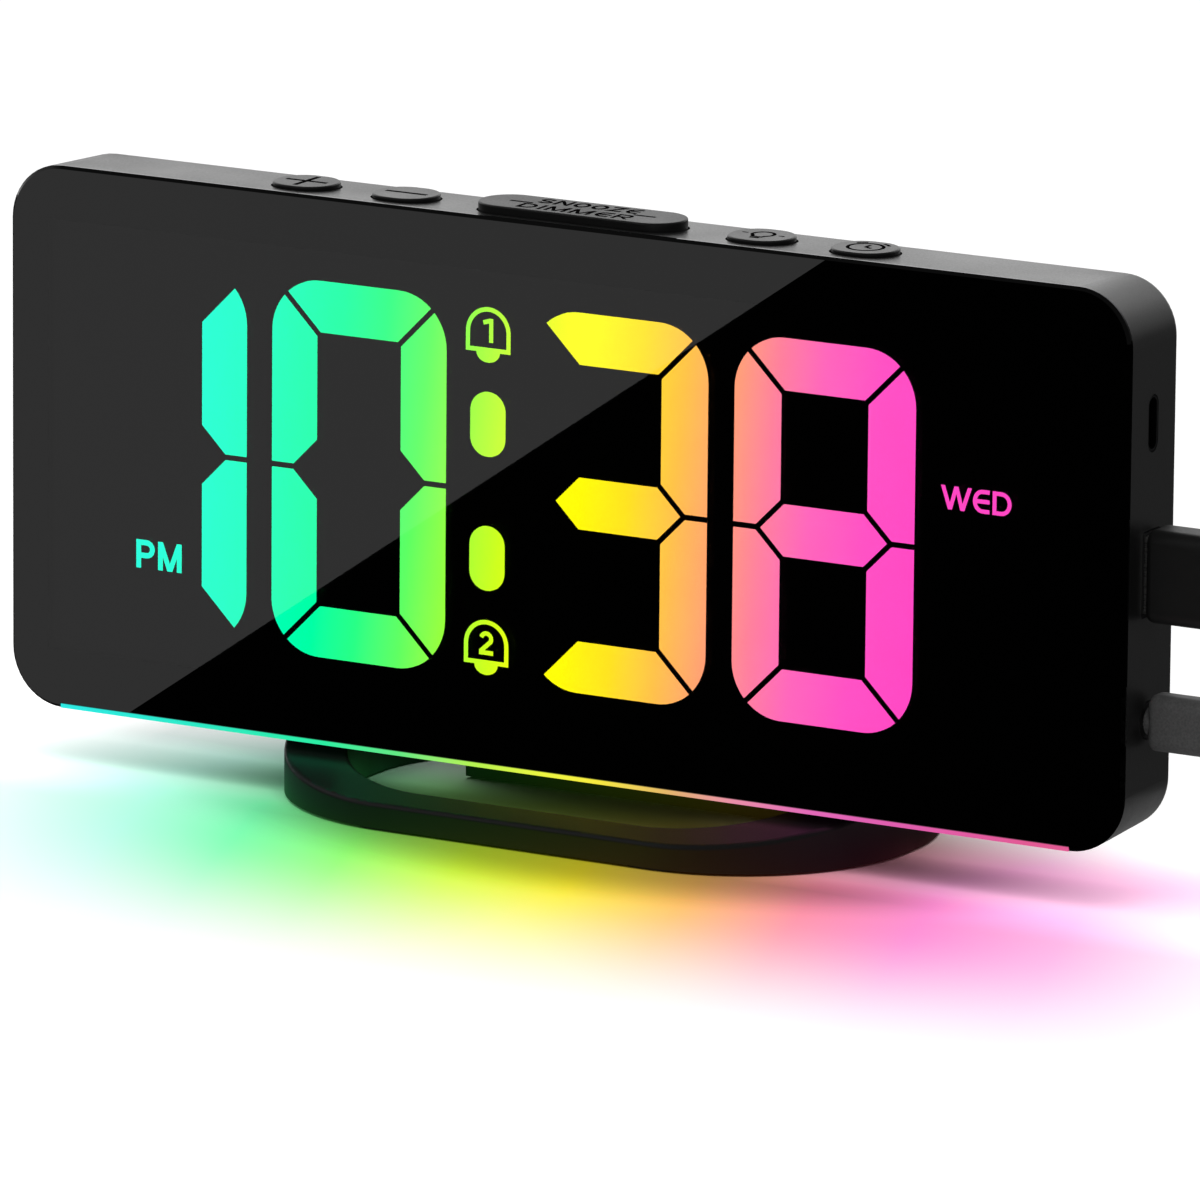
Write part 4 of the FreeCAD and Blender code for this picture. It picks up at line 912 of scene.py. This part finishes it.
glow = surface("floor_glow", screen(255, 255, 255), 0.9)
floor_x, floor_y, _ = glow.put("SeparateXYZ", {0: glow.place}).outputs
aside = glow.sums("ABSOLUTE", floor_x)
reach = glow.sums("ABSOLUTE", glow.sums("SUBTRACT", floor_y, bar_y * mm))
leant_x = glow.sums("SUBTRACT", floor_x, glow.product(
    glow.sums("SUBTRACT", reach, lean_from * mm), glow_lean
))
hue = glow.ramp(glow.across(leant_x, *glow_run), along(glow_run, glow_stops))
far = glow.across(reach, glow_start, glow_end, 1.0, 0.0, smooth=True)
before_bar = glow.across(floor_y, -28, -16, 1.0, 0.8, smooth=True)
past_bar = glow.across(floor_y, -5, 25, 1.0, 0.0, smooth=True)
tint = glow.mixed(glow.product(far, before_bar, past_bar), grey(1.0), hue)
print("glow reaches", glow_end, "mm from the bar")

# %% [markdown]
# ## Mirrored floor
#
# The lens mirrors a dark room with one pale card at its left, and the stand mirrors the
# bar's colours. Both could be built as walls and lamps out of view, but they would light
# the set too. Light Path tells what kind of ray meets the floor, so the floor stands in
# for the room when a mirrored ray meets it: the lens is a sharp mirror, whose rays are
# singular, and everything else is a soft one.

# %% What mirrored rays meet on the floor
mirror_start, mirror_slope, mirror_front = -87.75, 0.2192, -22.0
card_light, room_light = 0.68, 0.005
gloss_hue_power = 1.6

rays = glow.put("LightPath").outputs
on_card = glow.product(
    glow.sums("LESS_THAN", floor_x, glow.sums(
        "ADD", mirror_start * mm, glow.product(floor_y, mirror_slope)
    )),
    glow.sums("LESS_THAN", floor_y, mirror_front * mm),
)
in_lens = glow.light(glow.mixed(on_card, grey(room_light), grey(card_light)), 1.0)
colour_in_gloss = glow.light(
    glow.put("Gamma", {0: hue, 1: gloss_hue_power}).outputs[0],
    glow.product(
        glow.across(reach, 10, 80, 0.55, 0.0), past_bar,
        glow.across(aside, 10, 100, 1.0, 0.0, smooth=True),
    ),
)
under_corner = glow.product(
    glow.across(floor_x, 70, 95, 0.0, 0.3, smooth=True),
    glow.across(floor_y, 30, 80, 1.0, 0.0, smooth=True),
)
grey_in_gloss = glow.light(grey(1.0), glow.sums(
    "ADD", under_corner, glow.across(floor_y, 0, 120, 0.01, 0.1, smooth=True)
))
mirrored = glow.either(
    rays["Is Singular Ray"], glow.both(colour_in_gloss, grey_in_gloss), in_lens
)
print("mirrored card shows", card_light, "bright")

# %% [markdown]
# ## Light and shade under the clock
#
# A floor that is only tinted looks flat. The bar's own light is added where it would
# fall, past the stand and past the ends of the body, and two painted shades deepen the
# shadow: in front of the ring's foot and behind the body at its left.

# %% Where the bar's light and the painted shades fall
stand_middle_x = 12
ring_squeeze = 0.625
foot_shade_depth, back_shade_depth = 0.58, 0.68

from_stand = glow.sums("SQRT", glow.sums(
    "ADD",
    glow.sums("POWER", glow.product(
        glow.sums("SUBTRACT", floor_x, stand_middle_x * mm), ring_squeeze
    ), 2.0),
    glow.sums("POWER", floor_y, 2.0),
))
past_ends = glow.product(
    glow.across(aside, 55, 90, 0.0, 0.36, smooth=True),
    glow.across(floor_y, -40, -24, smooth=True),
    glow.across(floor_y, 15, 60, 1.0, 0.0, smooth=True),
)
past_stand = glow.product(
    glow.across(from_stand, 36, 54, smooth=True),
    glow.across(reach, 10, 110, 0.25, 0.08),
    glow.across(floor_y, -24, -12, 1.0, 0.7),
)
foot_shade = glow.across(
    floor_y, -30, -22,
    glow.across(from_stand, 36, 56, foot_shade_depth, 1.0, smooth=True), 1.0,
)
back_shade = glow.spread(glow.product(
    glow.across(floor_x, -104, -86), glow.across(floor_x, -52, -38, 1.0, 0.0),
    glow.across(floor_y, -8, 6), glow.across(floor_y, 30, 80, 1.0, 0.0),
), 0.0, 1.0, 1.0, back_shade_depth)
shaded = glow.scaled(tint, glow.product(foot_shade, back_shade))
print("shades keep", foot_shade_depth, "and", back_shade_depth, "of the tint")

# %% Give each kind of ray its floor
plain_floor = 0.8
seen = glow.both(
    glow.diffuse(shaded), glow.light(shaded, glow.sums("ADD", past_ends, past_stand))
)
for_light = glow.either(rays["Is Camera Ray"], glow.diffuse(grey(plain_floor)), seen)
glow.feed(
    glow.tree.nodes["Material Output"], "Surface",
    glow.either(rays["Is Glossy Ray"], for_light, mirrored),
)
floor_mesh.materials.append(glow.material)
print("floor nodes:", len(glow.tree.nodes))

# %% [markdown]
# ## Sky and lamp
#
# An even sky gives the soft light, and a large softbox over the front right adds a
# little direction. Mirrored rays see another sky: a white wall at the back left, a dim
# card over the front left and black cloth elsewhere. That makes the top of the casing
# pale and its right side dark, as the photograph shows. The softbox is kept out of the
# mirrors, where it would show as a bright patch.

# %% The sky, plain and mirrored
wall_light, card_left_light, cloth_light = 1.2, 0.24, 0.08
dome_low, dome_high = 0.12, 1.14

world = bpy.data.worlds.new("studio_sky")
bpy.context.scene.world = world
world.use_nodes = True
sky = Finish(world.node_tree)
is_mirrored = sky.put("LightPath").outputs["Is Glossy Ray"]
way_x, way_y, way_z = sky.put(
    "SeparateXYZ", {0: sky.put("TexCoord").outputs["Generated"]}
).outputs
wall = sky.product(
    sky.spread(way_y, 0.1, 0.45, smooth=True),
    sky.spread(way_x, 0.05, 0.5, 1.0, 0.0, smooth=True),
    sky.spread(sky.sums("ABSOLUTE", way_z), 0.4, 0.75, wall_light, 0.0, smooth=True),
)
card_left = sky.product(
    sky.spread(way_x, -0.6, 0.0, 1.0, 0.0),
    sky.spread(way_y, 0.3, 0.5, card_left_light, 0.0),
    sky.spread(way_z, 0.2, 0.35), sky.spread(way_z, 0.72, 0.8, 1.0, 0.0),
)
mirrored_sky = sky.sums("ADD", sky.sums("ADD", wall, card_left), cloth_light)
dome = sky.spread(way_z, 0.2, 0.8, dome_low, dome_high)
backdrop = world.node_tree.nodes["Background"]
sky.feed(backdrop, "Color", sky.mixed(is_mirrored, dome, mirrored_sky))
sky.feed(backdrop, "Strength", 1.0)
bpy.context.scene.view_settings.view_transform = "Standard"
print("sky brightness overhead:", dome_high)

# %% The softbox


def area_lamp(name, width, height, energy, place):
    """A rectangular lamp of that size in metres, shining down until it is turned."""
    lamp = bpy.data.objects.new(name, bpy.data.lights.new(name, "AREA"))
    bpy.context.scene.collection.objects.link(lamp)
    lamp.data.shape = "RECTANGLE"
    lamp.data.size, lamp.data.size_y = width, height
    lamp.data.energy = energy
    lamp.location = place
    return lamp


softbox_aim = Vector((0, 0, 0.05))
softbox = area_lamp("softbox", 1.4, 1.0, 9.0, (0.35, -0.45, 2.0))
softbox.rotation_euler = (softbox_aim - softbox.location).to_track_quat("-Z", "Y").to_euler()
softbox.visible_glossy = False
print("softbox", softbox.data.energy, "W")

# %% [markdown]
# ## The bar's light on the stand
#
# The bar glows, but a guide under a millimetre wide finds few light paths to the stand
# below it. A row of small one-sided lamps just before it, each with the bar's colour at
# its place, throws the same tint down on the ring with far less noise.

# %% Small lamps for the bar's colours on the stand
bar_lamps = 16
bar_lamp_light = 0.35
bar_lamp_height = 5.0
bar_lamp_from, bar_lamp_to = -40.0, 62.0
bar_lamp_y, bar_lamp_z = -18.9, 11.5
gain_places, gains = (20, 60), (1.0, 1.8)
bar_lamp_width = (bar_lamp_to - bar_lamp_from) / bar_lamps
bar_places = [place for place, _ in bar_stops]
bar_colours = np.array([screen(*colour)[:3] for _, colour in bar_stops])
for n in range(bar_lamps):
    x = bar_lamp_from + bar_lamp_width * (n + 0.5)
    energy = bar_lamp_light * math.pi * bar_lamp_width * bar_lamp_height * mm * mm
    energy *= float(np.interp(x, gain_places, gains))
    strip = area_lamp(
        f"bar_lamp_{n}", bar_lamp_width * mm, bar_lamp_height * mm, energy,
        (x * mm, bar_lamp_y * mm, bar_lamp_z * mm),
    )
    strip.data.color = [float(np.interp(x, bar_places, band)) for band in bar_colours.T]
    strip.rotation_euler = (math.radians(-45), 0, 0)
    strip.visible_camera = False
print("bar lamps:", bar_lamps)
